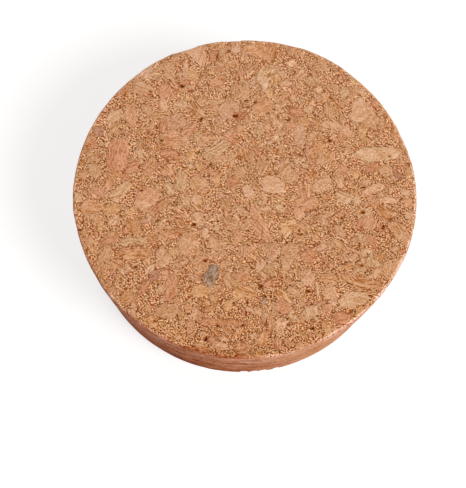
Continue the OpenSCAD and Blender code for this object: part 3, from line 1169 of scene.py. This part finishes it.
def unwrap(piece, rings, first, last):
    """Lays the wide face, the narrow face and two strips of wall side by side on one square map."""
    mesh = piece.data
    places = vertex_places(mesh)
    loops = np.empty(len(mesh.loops), int)
    mesh.loops.foreach_get("vertex_index", loops)
    starts = np.empty(len(mesh.polygons), int)
    mesh.polygons.foreach_get("loop_start", starts)
    counts = np.empty(len(mesh.polygons), int)
    mesh.polygons.foreach_get("loop_total", counts)
    owner = np.repeat(np.arange(len(starts)), counts)
    place = places[loops]
    centre = np.add.reduceat(place, starts) / counts[:, None]
    middle = centre[owner]
    face_edge = (rings[0].height + rings[first].height) / 2
    base_edge = rings[last].height / 2
    on_face = middle[:, 2] > face_edge
    on_base = middle[:, 2] < base_edge

    uv = np.empty((len(loops), 2))
    face_span, base_span, margin = 0.632, 0.356, 0.006
    reach = rings[first].radius
    face_scale = face_span / 2 / (reach * 1.004)
    uv[on_face] = place[on_face, :2] * face_scale + (margin + face_span / 2, 1 - margin - face_span / 2)
    base_scale = base_span / 2 / (rings[last].radius * 1.004)
    base_centre = (1 - margin - base_span / 2, 1 - margin - base_span / 2)
    uv[on_base] = place[on_base, :2] * (base_scale, -base_scale) + base_centre

    on_wall = ~(on_face | on_base)
    turn = np.arctan2(place[:, 1], place[:, 0]) % (2 * math.pi)
    middle_turn = np.arctan2(middle[:, 1], middle[:, 0]) % (2 * math.pi)
    turn = turn + 2 * math.pi * ((middle_turn - turn > math.pi) * 1.0 - (turn - middle_turn > math.pi) * 1.0)
    half = middle_turn >= math.pi
    along = (turn - math.pi * half) / math.pi
    strip_height = 0.165
    up = place[:, 2] / rings[0].height
    uv[on_wall, 0] = margin + along[on_wall] * (1 - 2 * margin)
    uv[on_wall, 1] = margin + up[on_wall] * strip_height + half[on_wall] * (strip_height + 2 * margin)

    layer = mesh.uv_layers.new(name="OFBake")
    layer.data.foreach_set("uv", uv.astype(np.float32).ravel())


# ---------------------------------------------------------------------------
# Cork finish


class Wiring:
    """Short calls for building a material's nodes."""

    def __init__(self, tree):
        self.tree = tree
        tree.nodes.clear()

    def node(self, kind, **settings):
        made = self.tree.nodes.new("ShaderNode" + kind)
        for name, value in settings.items():
            setattr(made, name, value)
        return made

    def feed(self, socket, value):
        """Links a socket to another, or sets it to a plain value."""
        if isinstance(value, bpy.types.NodeSocket):
            self.tree.links.new(value, socket)
        else:
            socket.default_value = value

    def maths(self, operation, *values):
        made = self.node("Math", operation=operation)
        for socket, value in zip(made.inputs, values):
            self.feed(socket, value)
        return made.outputs[0]

    def plus(self, first, *others):
        total = first
        for other in others:
            total = self.maths("ADD", total, other)
        return total

    def plus_part(self, value, part, share):
        """value, and a share of part added to it."""
        return self.maths("MULTIPLY_ADD", part, share, value)

    def minus(self, first, second):
        return self.maths("SUBTRACT", first, second)

    def times(self, first, second):
        return self.maths("MULTIPLY", first, second)

    def vectors(self, operation, *values, output=0):
        made = self.node("VectorMath", operation=operation)
        for socket, value in zip(made.inputs, values):
            self.feed(socket, value)
        return made.outputs[output]

    def scaled(self, vector, factor):
        made = self.node("VectorMath", operation="SCALE")
        self.feed(made.inputs["Vector"], vector)
        self.feed(made.inputs["Scale"], factor)
        return made.outputs[0]

    def attribute(self, name, output="Fac"):
        return self.node("Attribute", attribute_name=name).outputs[output]

    def noise(self, vector, scale, detail=2.0, roughness=0.5, output="Fac"):
        made = self.node("TexNoise", noise_dimensions="3D")
        self.feed(made.inputs["Vector"], vector)
        self.feed(made.inputs["Scale"], scale)
        self.feed(made.inputs["Detail"], detail)
        self.feed(made.inputs["Roughness"], roughness)
        return made.outputs[output]

    def cells(self, vector, scale, feature="F1", output="Distance"):
        made = self.node("TexVoronoi", voronoi_dimensions="3D", feature=feature)
        self.feed(made.inputs["Vector"], vector)
        self.feed(made.inputs["Scale"], scale)
        return made.outputs[output]

    def ranged(self, value, low, high, to_low=0.0, to_high=1.0, smooth=False):
        made = self.node("MapRange", interpolation_type="SMOOTHSTEP" if smooth else "LINEAR")
        for socket, given in zip(made.inputs, (value, low, high, to_low, to_high)):
            self.feed(socket, given)
        return made.outputs[0]

    def blended(self, share, first, second):
        """first where share is 0 and second where it is 1, as colours."""
        made = self.node("Mix", data_type="RGBA")
        self.feed(made.inputs[0], share)
        self.feed(made.inputs[6], first)
        self.feed(made.inputs[7], second)
        return made.outputs[2]

    def node_mix(self, share, first, second):
        """first where share is 0 and second where it is 1, as plain values."""
        made = self.node("Mix", data_type="FLOAT")
        self.feed(made.inputs[0], share)
        self.feed(made.inputs[2], first)
        self.feed(made.inputs[3], second)
        return made.outputs[0]

    def split(self, colour):
        made = self.node("SeparateColor")
        self.feed(made.inputs[0], colour)
        return made.outputs


DISPLAY_GAMMA = 2.2
# How a change of tone lifts or lowers the display colour's red, green and blue
LIFT_COLOUR = (0.87, 1.14, 1.42)
TONE_STRENGTH = 0.56
DARKEST_COLOUR = (0.12, 0.06, 0.03)

# The middle of a noise's values, as a number and as a colour
MID = 0.5
MID_COLOUR = (MID, MID, MID)

# Directions from the axis: the stretch of wall painted darker and redder as painted shade and painted reddish
# reflected light, the stretch by the rim painted pale as painted light on the side that faces the key lamp,
# and the side towards the viewer.
SHADED_SIDE = (-0.64, -0.77, 0)
KEY_LIT_SIDE = (0.86, -0.51, 0)
NEAR_SIDE = (-0.02, -1, 0)

# What the parts of the finish share. Places and heights are in millimetres, shares run from
# 0 to 1, and a tone is a change of lightness, where 0 leaves a colour as it is.
Ground = namedtuple("Ground", "place around past_rim sanded drift")
Crumb = namedtuple("Crumb", "colour tone grit bits height")
Granule = namedtuple("Granule", "share outline colour tone rings")
# A wall's light is a whole tone, where 1 leaves a colour as it is. It carries the wall's painted shade and
# its streaks.
Wall = namedtuple("Wall", "browned bare light blush")


def rgba(colour):
    return [*colour, 1.0]


def winding_line(wire, place, scale, detail, width):
    """1 along the winding lines where a noise crosses its middle, and 0 beside them."""
    off_line = wire.maths("ABSOLUTE", wire.minus(wire.noise(place, scale, detail), MID))
    return wire.ranged(off_line, 0.0, width, 1.0, 0.0)


def lay_ground(wire):
    """Where each point lies on the plug, and how far it is sanded."""
    place = wire.scaled(wire.node("TexCoord").outputs["Object"], 1 / MM)
    around = wire.vectors("NORMALIZE", wire.vectors("MULTIPLY", place, (1, 1, 0)))
    past_rim = wire.attribute("past_rim")
    wavy = wire.maths("MULTIPLY_ADD", wire.noise(place, 0.5, 4.0, 0.7), 4.0, -2.0)
    sanded = wire.ranged(wire.plus(past_rim, wavy), -0.1, 0.3, smooth=True)
    drift = wire.vectors("SUBTRACT", wire.noise(place, 1.3, 3.0, 0.6, "Color"), MID_COLOUR)
    return Ground(place, around, past_rim, sanded, drift)


def along_grain(wire, place, scale, packing, grain, chance):
    """Places packed closer along a bit's grain, and moved far from those of the next bit."""
    far_apart = (60, 60, 60)
    run = wire.vectors("DOT_PRODUCT", place, grain, output=1)
    packed = wire.vectors("ADD", wire.scaled(place, scale), wire.scaled(grain, wire.times(run, packing)))
    return wire.vectors("MULTIPLY_ADD", chance, far_apart, packed)


def grit_tone(wire, place, combed):
    """The finest specks, partly the crumb's own speckled tone and partly painted highlight and painted shade
    standing in for their fine relief: light where they stand proud, dark where they are sunk.
    """
    scale = 2.75
    beside = wire.noise(wire.vectors("ADD", combed, (0.24, 0.0, 0.09)), scale, 0.0)
    behind = wire.noise(wire.vectors("ADD", combed, (0.0, 0.24, -0.09)), scale, 0.0)
    level = wire.times(wire.plus(beside, behind), 0.5)
    proud = wire.minus(wire.noise(combed, scale, 0.0), level)
    busy = wire.ranged(wire.noise(place, 0.9), 0.40, 0.58, 0.7, 1.1)
    sunk = wire.times(wire.ranged(proud, -0.07, -0.17), busy)
    specks = wire.plus_part(wire.ranged(proud, -0.17, 0.17, -0.54, 0.52), sunk, -0.28)
    grains = wire.split(wire.cells(combed, 3.4, output="Color"))
    return wire.plus_part(wire.maths("MULTIPLY_ADD", grains[0], 0.90, -0.45), specks, 0.98)


def crumb_look(wire, ground, colours):
    """The fine crumb: bits made of splinters, each bit with a grain of its own, and dark gaps."""
    place = ground.place
    bit_scale, splinter_scale = 0.7, 1.0
    warped = wire.vectors("ADD", place, ground.drift)
    chance = wire.cells(warped, bit_scale, output="Color")
    bit_edge = wire.cells(warped, bit_scale, "DISTANCE_TO_EDGE")
    bits = wire.split(chance)
    grain = wire.vectors("NORMALIZE", wire.vectors("SUBTRACT", chance, MID_COLOUR))
    splintered = along_grain(wire, warped, 1.4, 1.3, grain, chance)
    splinters = wire.split(wire.cells(splintered, splinter_scale, output="Color"))
    splinter_edge = wire.cells(splintered, splinter_scale, "DISTANCE_TO_EDGE")
    grit = grit_tone(wire, place, along_grain(wire, place, 1.0, 0.6, grain, chance))

    rough = wire.ranged(wire.noise(place, 0.30, 3.0, 0.6), 0.35, 0.65, 0.82, 1.18)
    shreds = wire.ranged(wire.noise(splintered, 2.3, 0.0), 0.38, 0.60, -0.10, 0.07)
    tone = wire.plus(wire.times(shreds, rough), wire.ranged(bits[1], 0, 1, -0.02, 0.02))
    patchy = wire.ranged(wire.noise(place, 1.2), 0.40, 0.60, 0.35, 1.0)
    # The gaps between bits are painted darker, partly their own colour and partly painted shade in the narrow
    # gaps
    bit_gaps = wire.ranged(bit_edge, 0.0, 0.08, 0.6, 0.0)
    gaps = wire.maths("MAXIMUM", wire.ranged(splinter_edge, 0.02, 0.12, 1.0, 0.0), bit_gaps)
    gaps = wire.times(gaps, wire.times(patchy, wire.ranged(ground.sanded, 0, 1, 1.0, 0.3)))
    tone = wire.plus(tone, wire.times(grit, rough), wire.times(gaps, -0.09))

    cracks = winding_line(wire, warped, 2.2, 1.0, 0.06)
    cracks = wire.times(cracks, wire.ranged(wire.noise(place, 1.5, 1.0), 0.42, 0.56))
    aside = wire.vectors("ADD", place, (31, 17, 5))
    glints = winding_line(wire, aside, 2.4, 1.0, 0.06)
    glints = wire.times(glints, wire.ranged(wire.noise(aside, 1.3, 1.0), 0.48, 0.62))
    tone = wire.plus_part(wire.plus_part(tone, cracks, -0.15), glints, 0.14)
    tone = wire.maths("MINIMUM", tone, 0.34)

    warmth = wire.times(bits[0], splinters[0])
    colour = wire.blended(warmth, rgba(colours.crumb_light), rgba(colours.crumb_warm))
    height = wire.plus(
        wire.ranged(splinter_edge, 0.0, 0.4, 0.0, 0.05),
        wire.ranged(bit_edge, 0.0, 0.3, 0.0, 0.05),
        wire.times(splinters[2], 0.05),
    )
    return Crumb(colour, tone, grit, bits, height)


def granule_look(wire, ground, crumb, colours):
    """The granules' cut faces with their rings and fibres, and the dark line round each."""
    place = ground.place
    crisp = wire.attribute("crisp")

    # The edge of a cut face follows the bits of crumb
    loose = wire.ranged(crisp, 0, 1, 1.5, 0.9)
    ragged = wire.times(wire.minus(wire.noise(place, 2.6, 3.0, 0.7), MID), loose)
    ragged = wire.plus(ragged, wire.maths("MULTIPLY_ADD", crumb.bits[2], 0.16, -0.08))
    depth = wire.plus(wire.attribute("granule_depth"), ragged)
    share = wire.ranged(depth, -0.07, 0.07, smooth=True)
    # The dark line round a cut face is partly a dark joint and partly painted shade along its edge
    outline = wire.times(
        wire.ranged(depth, -0.20, -0.12, smooth=True),
        wire.ranged(depth, -0.05, 0.04, 1.0, 0.0, smooth=True),
    )
    outline = wire.times(outline, wire.ranged(wire.noise(place, 1.1), 0.42, 0.62))
    outline = wire.times(outline, wire.ranged(crumb.grit, 0.2, -0.3, 0.2, 1.4))
    outline = wire.times(outline, wire.ranged(crisp, 0, 1, 0.15, 0.40))

    fibre = wire.attribute("fibre_place", "Vector")
    rings = wire.noise(wire.vectors("MULTIPLY", fibre, (3.1, 0.30, 1.0)), 1.0, 2.0, 0.6)
    plain = wire.ranged(wire.attribute("fibre_strength"), 0, 1, 0.32, 1.35)
    rings = wire.times(wire.minus(rings, MID), plain)
    fibres = wire.cells(wire.vectors("MULTIPLY", fibre, (3.6, 1.3, 1.0)), 1.0, output="Color")
    fibres = wire.times(wire.minus(wire.split(fibres)[0], MID), wire.plus(plain, 0.10))
    mottle = wire.times(wire.minus(wire.noise(place, 0.8, 3.0), MID), 0.10)
    tone = wire.plus(wire.plus_part(rings, fibres, 0.30), mottle)
    tone = wire.plus(tone, wire.times(crumb.grit, wire.ranged(crisp, 0, 1, 0.27, 0.22)))
    tone = wire.plus(tone, wire.ranged(crisp, 0, 1, 0.02, 0.042))
    tone = wire.maths("MINIMUM", tone, 0.18)

    like_crumb = wire.ranged(crisp, 0, 1, 0.05, 0.0)
    colour = wire.blended(like_crumb, wire.attribute("granule_tint", "Vector"), rgba(colours.crumb_light))
    return Granule(share, outline, colour, tone, rings)


def wall_look(wire, ground):
    """The sanded wall: where it is painted with shade and reddish reflected light, where it is painted pale
    as painted light by the rim, and the streaks that flow round it.
    """
    place, around, drift = ground.place, ground.around, ground.drift
    lengthways = wire.vectors("MULTIPLY", place, (0, 0, 0.30))
    flow = wire.vectors("MULTIPLY_ADD", around, (4.0, 4.0, 0), lengthways)
    flow = wire.vectors("ADD", flow, wire.scaled(wire.vectors("MULTIPLY", drift, (0.3, 0.3, 1.0)), 0.6))
    streaks = wire.times(wire.minus(wire.noise(flow, 1.0, 4.0, 0.65), MID), 1.5)
    thread = wire.vectors("MULTIPLY_ADD", around, (7.0, 7.0, 0), lengthways)
    thread = wire.vectors("ADD", thread, wire.scaled(drift, 0.5))
    streaks = wire.plus_part(streaks, winding_line(wire, thread, 1.0, 2.0, 0.05), -0.40)
    thread = wire.vectors("ADD", thread, (9, 4, 7))
    streaks = wire.plus_part(streaks, winding_line(wire, thread, 1.0, 2.0, 0.05), 0.26)
    blush = wire.ranged(wire.noise(flow, 0.6), 0.40, 0.60)

    # Painted shade and painted reddish reflected light: darker on the wall's front-left stretch, lighter
    # elsewhere
    browned = wire.ranged(wire.vectors("DOT_PRODUCT", around, SHADED_SIDE, output=1), 0.45, 0.98)
    streaks = wire.times(streaks, wire.ranged(browned, 0, 0.7, 0.32, 0.68))
    light = wire.plus(wire.ranged(browned, 0.35, 0.9, 1.08, 0.95), streaks)
    up = wire.vectors("DOT_PRODUCT", place, (0, 0, 1), output=1)
    # Painted shade: lighter towards the wide rim, darker towards the foot, a quarter as much off the
    # front-left stretch
    rise = wire.times(wire.ranged(up, 0.0, 22.0, -0.24, 0.18), wire.ranged(browned, 0, 1, 0.25, 1.0))

    # Painted light: the wall just below the wide rim, on the side that faces the key lamp, is painted pale
    bare = wire.ranged(wire.vectors("DOT_PRODUCT", around, KEY_LIT_SIDE, output=1), 0.58, 0.88)
    bare = wire.times(bare, wire.ranged(ground.past_rim, 0.8, 3.5, 1.0, 0.0))
    return Wall(browned, bare, wire.plus(rise, light), blush)


def rim_tone(wire, ground, bare):
    """Painted highlight along the wide rim, strongest on the side that faces the key lamp, and painted shade
    just inside the rim on the near side.
    """
    past_rim = ground.past_rim
    off_line = wire.maths("ABSOLUTE", wire.minus(past_rim, 0.15))
    # Painted highlight: a thin light line along the rim's rounding, five times as strong on the key-lamp side
    painted_rim_highlight = wire.ranged(off_line, 0.0, 0.4, 0.06, 0.0, smooth=True)
    painted_rim_highlight = wire.times(painted_rim_highlight, wire.ranged(bare, 0, 1, 1.0, 5.0))
    painted_rim_highlight = wire.times(painted_rim_highlight, wire.ranged(wire.noise(ground.place, 0.16), 0.4, 0.6))
    # Painted shade: the face is painted darker just inside the rim on the near side
    near = wire.vectors("DOT_PRODUCT", ground.around, NEAR_SIDE, output=1)
    near_rim_shade = wire.times(wire.ranged(near, 0.970, 0.990), wire.ranged(past_rim, -1.9, -0.5, 0.0, -0.16))
    return wire.plus(painted_rim_highlight, wire.times(near_rim_shade, wire.ranged(past_rim, 0.0, 1.0, 1.0, 0.0)))


def whole_tone(wire, ground, crumb, granule, wall):
    """How light each point is, where 1 leaves its colour as it is, with painted shade and painted highlights
    among the cork's own tones.
    """
    place = ground.place
    tone = wire.plus(1.0, wire.node_mix(granule.share, crumb.tone, granule.tone))
    clouds = wire.noise(place, 0.08, 3.0, 0.6)
    tone = wire.plus(tone, wire.ranged(clouds, 0.3, 0.7, -0.035, 0.045))
    # Painted shade: the face is painted darker towards the near side, less on the granules
    back = wire.vectors("DOT_PRODUCT", place, (0, 1, 0), output=1)
    front = wire.times(wire.ranged(back, -36.0, 12.0, -0.07, 0.0), wire.ranged(granule.share, 0, 1, 1.0, 0.4))
    tone = wire.plus(tone, front)
    outline = wire.times(granule.outline, wire.ranged(ground.sanded, 0, 1, 1.0, 0.5))
    tone = wire.minus(tone, outline)
    # The wall's tone carries its painted shade
    wall_tone = wire.plus_part(wall.light, wire.minus(tone, 1.0), 0.55)
    tone = wire.node_mix(ground.sanded, tone, wall_tone)
    tone = wire.plus(tone, rim_tone(wire, ground, wall.bare))
    # Painted shade: pits are painted dark in their hollows, on top of their pressed-in relief
    speckled = wire.maths("MULTIPLY_ADD", wire.noise(place, 2.2), 0.5, -0.27)
    pit = wire.plus(wire.attribute("pit"), speckled)
    return wire.minus(tone, wire.ranged(pit, 0.12, 0.95, 0.0, 0.85))


def whole_colour(wire, ground, crumb, granule, wall, colours):
    """The colour of each point before its tone is added, as a display colour."""
    face_colour = wire.blended(granule.share, crumb.colour, granule.colour)
    # Partly the sanded cork's own tints, partly painted reddish reflected light
    wall_colour = wire.blended(wall.blush, rgba(colours.wall_tan), rgba(colours.wall_rose))
    wall_colour = wire.blended(0.72, wall_colour, face_colour)
    # Painted shade and painted reddish reflected light: the front-left stretch takes a darker, redder colour
    wall_colour = wire.blended(wire.times(wall.browned, 0.62), wall_colour, rgba(colours.painted_wall_shade))
    # Painted light: the wall by the rim on the side that faces the key lamp is painted pale
    wall_colour = wire.blended(wire.times(wall.bare, 0.8), wall_colour, rgba(colours.painted_lit_rim))
    return wire.blended(ground.sanded, face_colour, wall_colour)


def linear_colour(wire, colour, tone):
    """A display colour lifted or lowered by a tone, as the light that the shader takes."""
    lift = wire.maths("MULTIPLY_ADD", tone, TONE_STRENGTH, -TONE_STRENGTH)
    shown = wire.vectors("ADD", colour, wire.scaled(LIFT_COLOUR, lift))
    shown = wire.vectors("MAXIMUM", shown, DARKEST_COLOUR)
    linear = wire.node("Gamma")
    wire.feed(linear.inputs[0], shown)
    linear.inputs[1].default_value = DISPLAY_GAMMA
    return linear.outputs[0]


def fine_relief(wire, ground, crumb, granule):
    """Relief too fine for the mesh: rough crumb and the granules' rings, in millimetres."""
    crumb_share = wire.times(wire.minus(1.0, granule.share), wire.ranged(ground.sanded, 0, 1, 1.0, 0.3))
    height = wire.times(crumb.height, crumb_share)
    height = wire.plus_part(wire.plus_part(height, granule.share, 0.12), granule.rings, 0.08)
    bump = wire.node("Bump")
    bump.inputs["Strength"].default_value = 1.0
    bump.inputs["Distance"].default_value = MM
    wire.feed(bump.inputs["Height"], height)
    return bump.outputs[0]


def cork_material(colours):
    """Sawn and sanded cork: smooth granules set in fine crumb with dark gaps."""
    material = bpy.data.materials.new("pressed cork")
    material.use_nodes = True
    wire = Wiring(material.node_tree)
    ground = lay_ground(wire)
    crumb = crumb_look(wire, ground, colours)
    granule = granule_look(wire, ground, crumb, colours)
    wall = wall_look(wire, ground)
    tone = whole_tone(wire, ground, crumb, granule, wall)
    colour = whole_colour(wire, ground, crumb, granule, wall, colours)

    shader = wire.node("BsdfPrincipled")
    wire.feed(shader.inputs["Base Color"], linear_colour(wire, colour, tone))
    wire.feed(shader.inputs["Roughness"], wire.ranged(granule.share, 0, 1, 0.92, 0.78))
    shader.inputs["Specular IOR Level"].default_value = 0.25
    wire.feed(shader.inputs["Normal"], fine_relief(wire, ground, crumb, granule))
    output = wire.node("OutputMaterial")
    wire.feed(output.inputs["Surface"], shader.outputs[0])
    return material


# ---------------------------------------------------------------------------
# Operators


class CORK_OT_make_stopper(bpy.types.Operator):
    """Makes the cork plug: shell, granules, relief, bake map and finish"""

    bl_idname = "cork.make_stopper"
    bl_label = "Make Cork Stopper"
    bl_options = {"REGISTER", "UNDO"}

    def execute(self, context):
        settings = context.scene.cork_stopper
        piece, rings, first, last = make_shell(settings)
        unwrap(piece, rings, first, last)
        lay_granules(piece, rings, first, last, settings)
        carve_relief(piece, rings, settings)
        piece.data.materials.append(cork_material(context.scene.cork_colours))
        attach(piece, BODY)
        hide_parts(NODE)
        return {"FINISHED"}


# The render's size, and where the middle of the wide face lies in it, in pixels
RENDER_WIDE, RENDER_HIGH = 466, 488
TARGET_X, TARGET_Y = 244.30, 192.50
SENSOR_WIDTH = 36

# The floor's colour as the camera sees it and as it lights the plug, how much it glows
# close by, and the distances in metres between which the glow grows to plain white.
FLOOR_SEEN = (0.42, 0.42, 0.42)
FLOOR_LIT = (0.52, 0.37, 0.30)
FLOOR_GLOW = 0.70
FLOOR_GLOW_REACH = (0.12, 0.5)
SURROUND_STRENGTH = 0.225

# Lamps: place and width in metres, power in watts
Lamp = namedtuple("Lamp", "name place size power colour")

LAMPS = (
    Lamp("key lamp", (1.00, -0.70, 1.05), 0.9, 24.0, (1.0, 0.975, 0.945)),
    Lamp("fill lamp", (-0.7, 0.9, 0.9), 1.2, 7.0, (1.0, 0.99, 0.98)),
)


def seen_share(wire):
    """1 for rays that show a surface to the camera, straight, mirrored or through glass, and 0 for others."""
    path = wire.node("LightPath").outputs
    mirrored = wire.maths("MAXIMUM", path["Is Glossy Ray"], path["Is Transmission Ray"])
    return wire.maths("MAXIMUM", path["Is Camera Ray"], mirrored)


def floor_material(name, seen, lit, glow, glow_reach):
    """A matt floor that looks pale, and lights the object with a colour of its own.

    A glow eases the shadows on it, and turns it plain white further off.
    """
    material = bpy.data.materials.new(name)
    material.use_nodes = True
    wire = Wiring(material.node_tree)
    share = seen_share(wire)
    matt = wire.node("BsdfDiffuse")
    wire.feed(matt.inputs["Color"], wire.blended(share, rgba(lit), rgba(seen)))
    away = wire.vectors("LENGTH", wire.node("TexCoord").outputs["Object"], output=1)
    shine = wire.node("Emission")
    wire.feed(shine.inputs["Strength"], wire.times(share, wire.ranged(away, *glow_reach, glow, 1.0)))
    both = wire.node("AddShader")
    wire.feed(both.inputs[0], matt.outputs[0])
    wire.feed(both.inputs[1], shine.outputs[0])
    output = wire.node("OutputMaterial")
    wire.feed(output.inputs["Surface"], both.outputs[0])
    return material


def white_surround(name, strength):
    """A world that looks white and lights the object with a strength of its own."""
    world = bpy.data.worlds.new(name)
    world.use_nodes = True
    wire = Wiring(world.node_tree)
    background = wire.node("Background")
    wire.feed(background.inputs["Strength"], wire.ranged(seen_share(wire), 0, 1, strength, 1.0))
    background.inputs["Color"].default_value = (1, 1, 1, 1)
    output = wire.node("OutputWorld")
    wire.feed(output.inputs["Surface"], background.outputs[0])
    return world


def add_lamp(lamp, aim):
    """A large soft lamp turned towards a point."""
    bpy.ops.object.light_add(type="AREA", location=lamp.place)
    made = bpy.context.active_object
    made.name = lamp.name
    made.data.shape = "DISK"
    made.data.size = lamp.size
    made.data.energy = lamp.power
    made.data.color = lamp.colour
    toward = [a - b for a, b in zip(aim, lamp.place)]
    made.rotation_euler = Vector(toward).to_track_quat("-Z", "Y").to_euler()


def add_camera(settings, target):
    """A camera that looks at the wide face from the front and above."""
    elevation = settings.camera_elevation
    back = Vector((0, -math.cos(elevation), math.sin(elevation)))
    place = Vector(target) + back * settings.camera_distance
    bpy.ops.object.camera_add(location=place)
    camera = bpy.context.active_object
    camera.name = "camera"
    camera.data.sensor_width = SENSOR_WIDTH
    camera.data.lens = settings.focal_pixels / max(RENDER_WIDE, RENDER_HIGH) * SENSOR_WIDTH
    camera.data.clip_start = 0.01
    camera.data.clip_end = 50
    look = (-back).to_track_quat("-Z", "Y")
    roll = Matrix.Rotation(settings.camera_roll, 4, "Z")
    side = math.atan((TARGET_X - RENDER_WIDE / 2) / settings.focal_pixels)
    rise = math.atan((RENDER_HIGH / 2 - TARGET_Y) / settings.focal_pixels)
    aim = Matrix.Rotation(side, 4, "Y") @ Matrix.Rotation(-rise, 4, "X")
    camera.rotation_mode = "QUATERNION"
    camera.rotation_quaternion = (look.to_matrix().to_4x4() @ roll.inverted() @ aim).to_quaternion()
    bpy.context.scene.camera = camera


class CORK_OT_make_stage(bpy.types.Operator):
    """Makes the floor, the lamps, the world's light and the camera"""

    bl_idname = "cork.make_stage"
    bl_label = "Make Stage"
    bl_options = {"REGISTER", "UNDO"}

    def execute(self, context):
        scene = context.scene
        settings = scene.cork_stage
        low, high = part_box(NODE)
        bpy.ops.object.select_all(action="DESELECT")
        bpy.ops.mesh.primitive_plane_add(size=settings.floor_size, location=(0, 0, low.z))
        floor = context.active_object
        floor.name = "floor"
        pale = floor_material("pale floor", FLOOR_SEEN, FLOOR_LIT, FLOOR_GLOW, FLOOR_GLOW_REACH)
        floor.data.materials.append(pale)

        middle = (0, 0, high.z)
        for lamp in LAMPS:
            add_lamp(lamp, middle)
        scene.world = white_surround("soft surround", SURROUND_STRENGTH)
        add_camera(settings, middle)
        scene.view_settings.view_transform = "Standard"
        return {"FINISHED"}


class CORK_PT_stopper(bpy.types.Panel):
    """Lists the stopper's settings and operators"""

    bl_idname = "CORK_PT_stopper"
    bl_label = "Cork Stopper"
    bl_space_type = "VIEW_3D"
    bl_region_type = "UI"
    bl_category = "Cork"

    def draw(self, context):
        layout = self.layout
        for group in (context.scene.cork_stopper, context.scene.cork_colours, context.scene.cork_stage):
            box = layout.box()
            for name in group.__annotations__:
                box.prop(group, name)
        layout.operator(CORK_OT_make_stopper.bl_idname)
        layout.operator(CORK_OT_make_stage.bl_idname)


CLASSES = (
    StopperSettings,
    CorkColours,
    StageSettings,
    CORK_OT_make_stopper,
    CORK_OT_make_stage,
    CORK_PT_stopper,
)


def register():
    for made in CLASSES:
        bpy.utils.register_class(made)
    bpy.types.Scene.cork_stopper = bpy.props.PointerProperty(type=StopperSettings)
    bpy.types.Scene.cork_colours = bpy.props.PointerProperty(type=CorkColours)
    bpy.types.Scene.cork_stage = bpy.props.PointerProperty(type=StageSettings)


def unregister():
    del bpy.types.Scene.cork_stage
    del bpy.types.Scene.cork_colours
    del bpy.types.Scene.cork_stopper
    for made in reversed(CLASSES):
        bpy.utils.unregister_class(made)


def main():
    register()
    bpy.ops.cork.make_stopper()
    bpy.ops.cork.make_stage()


if __name__ == "__main__":
    main()
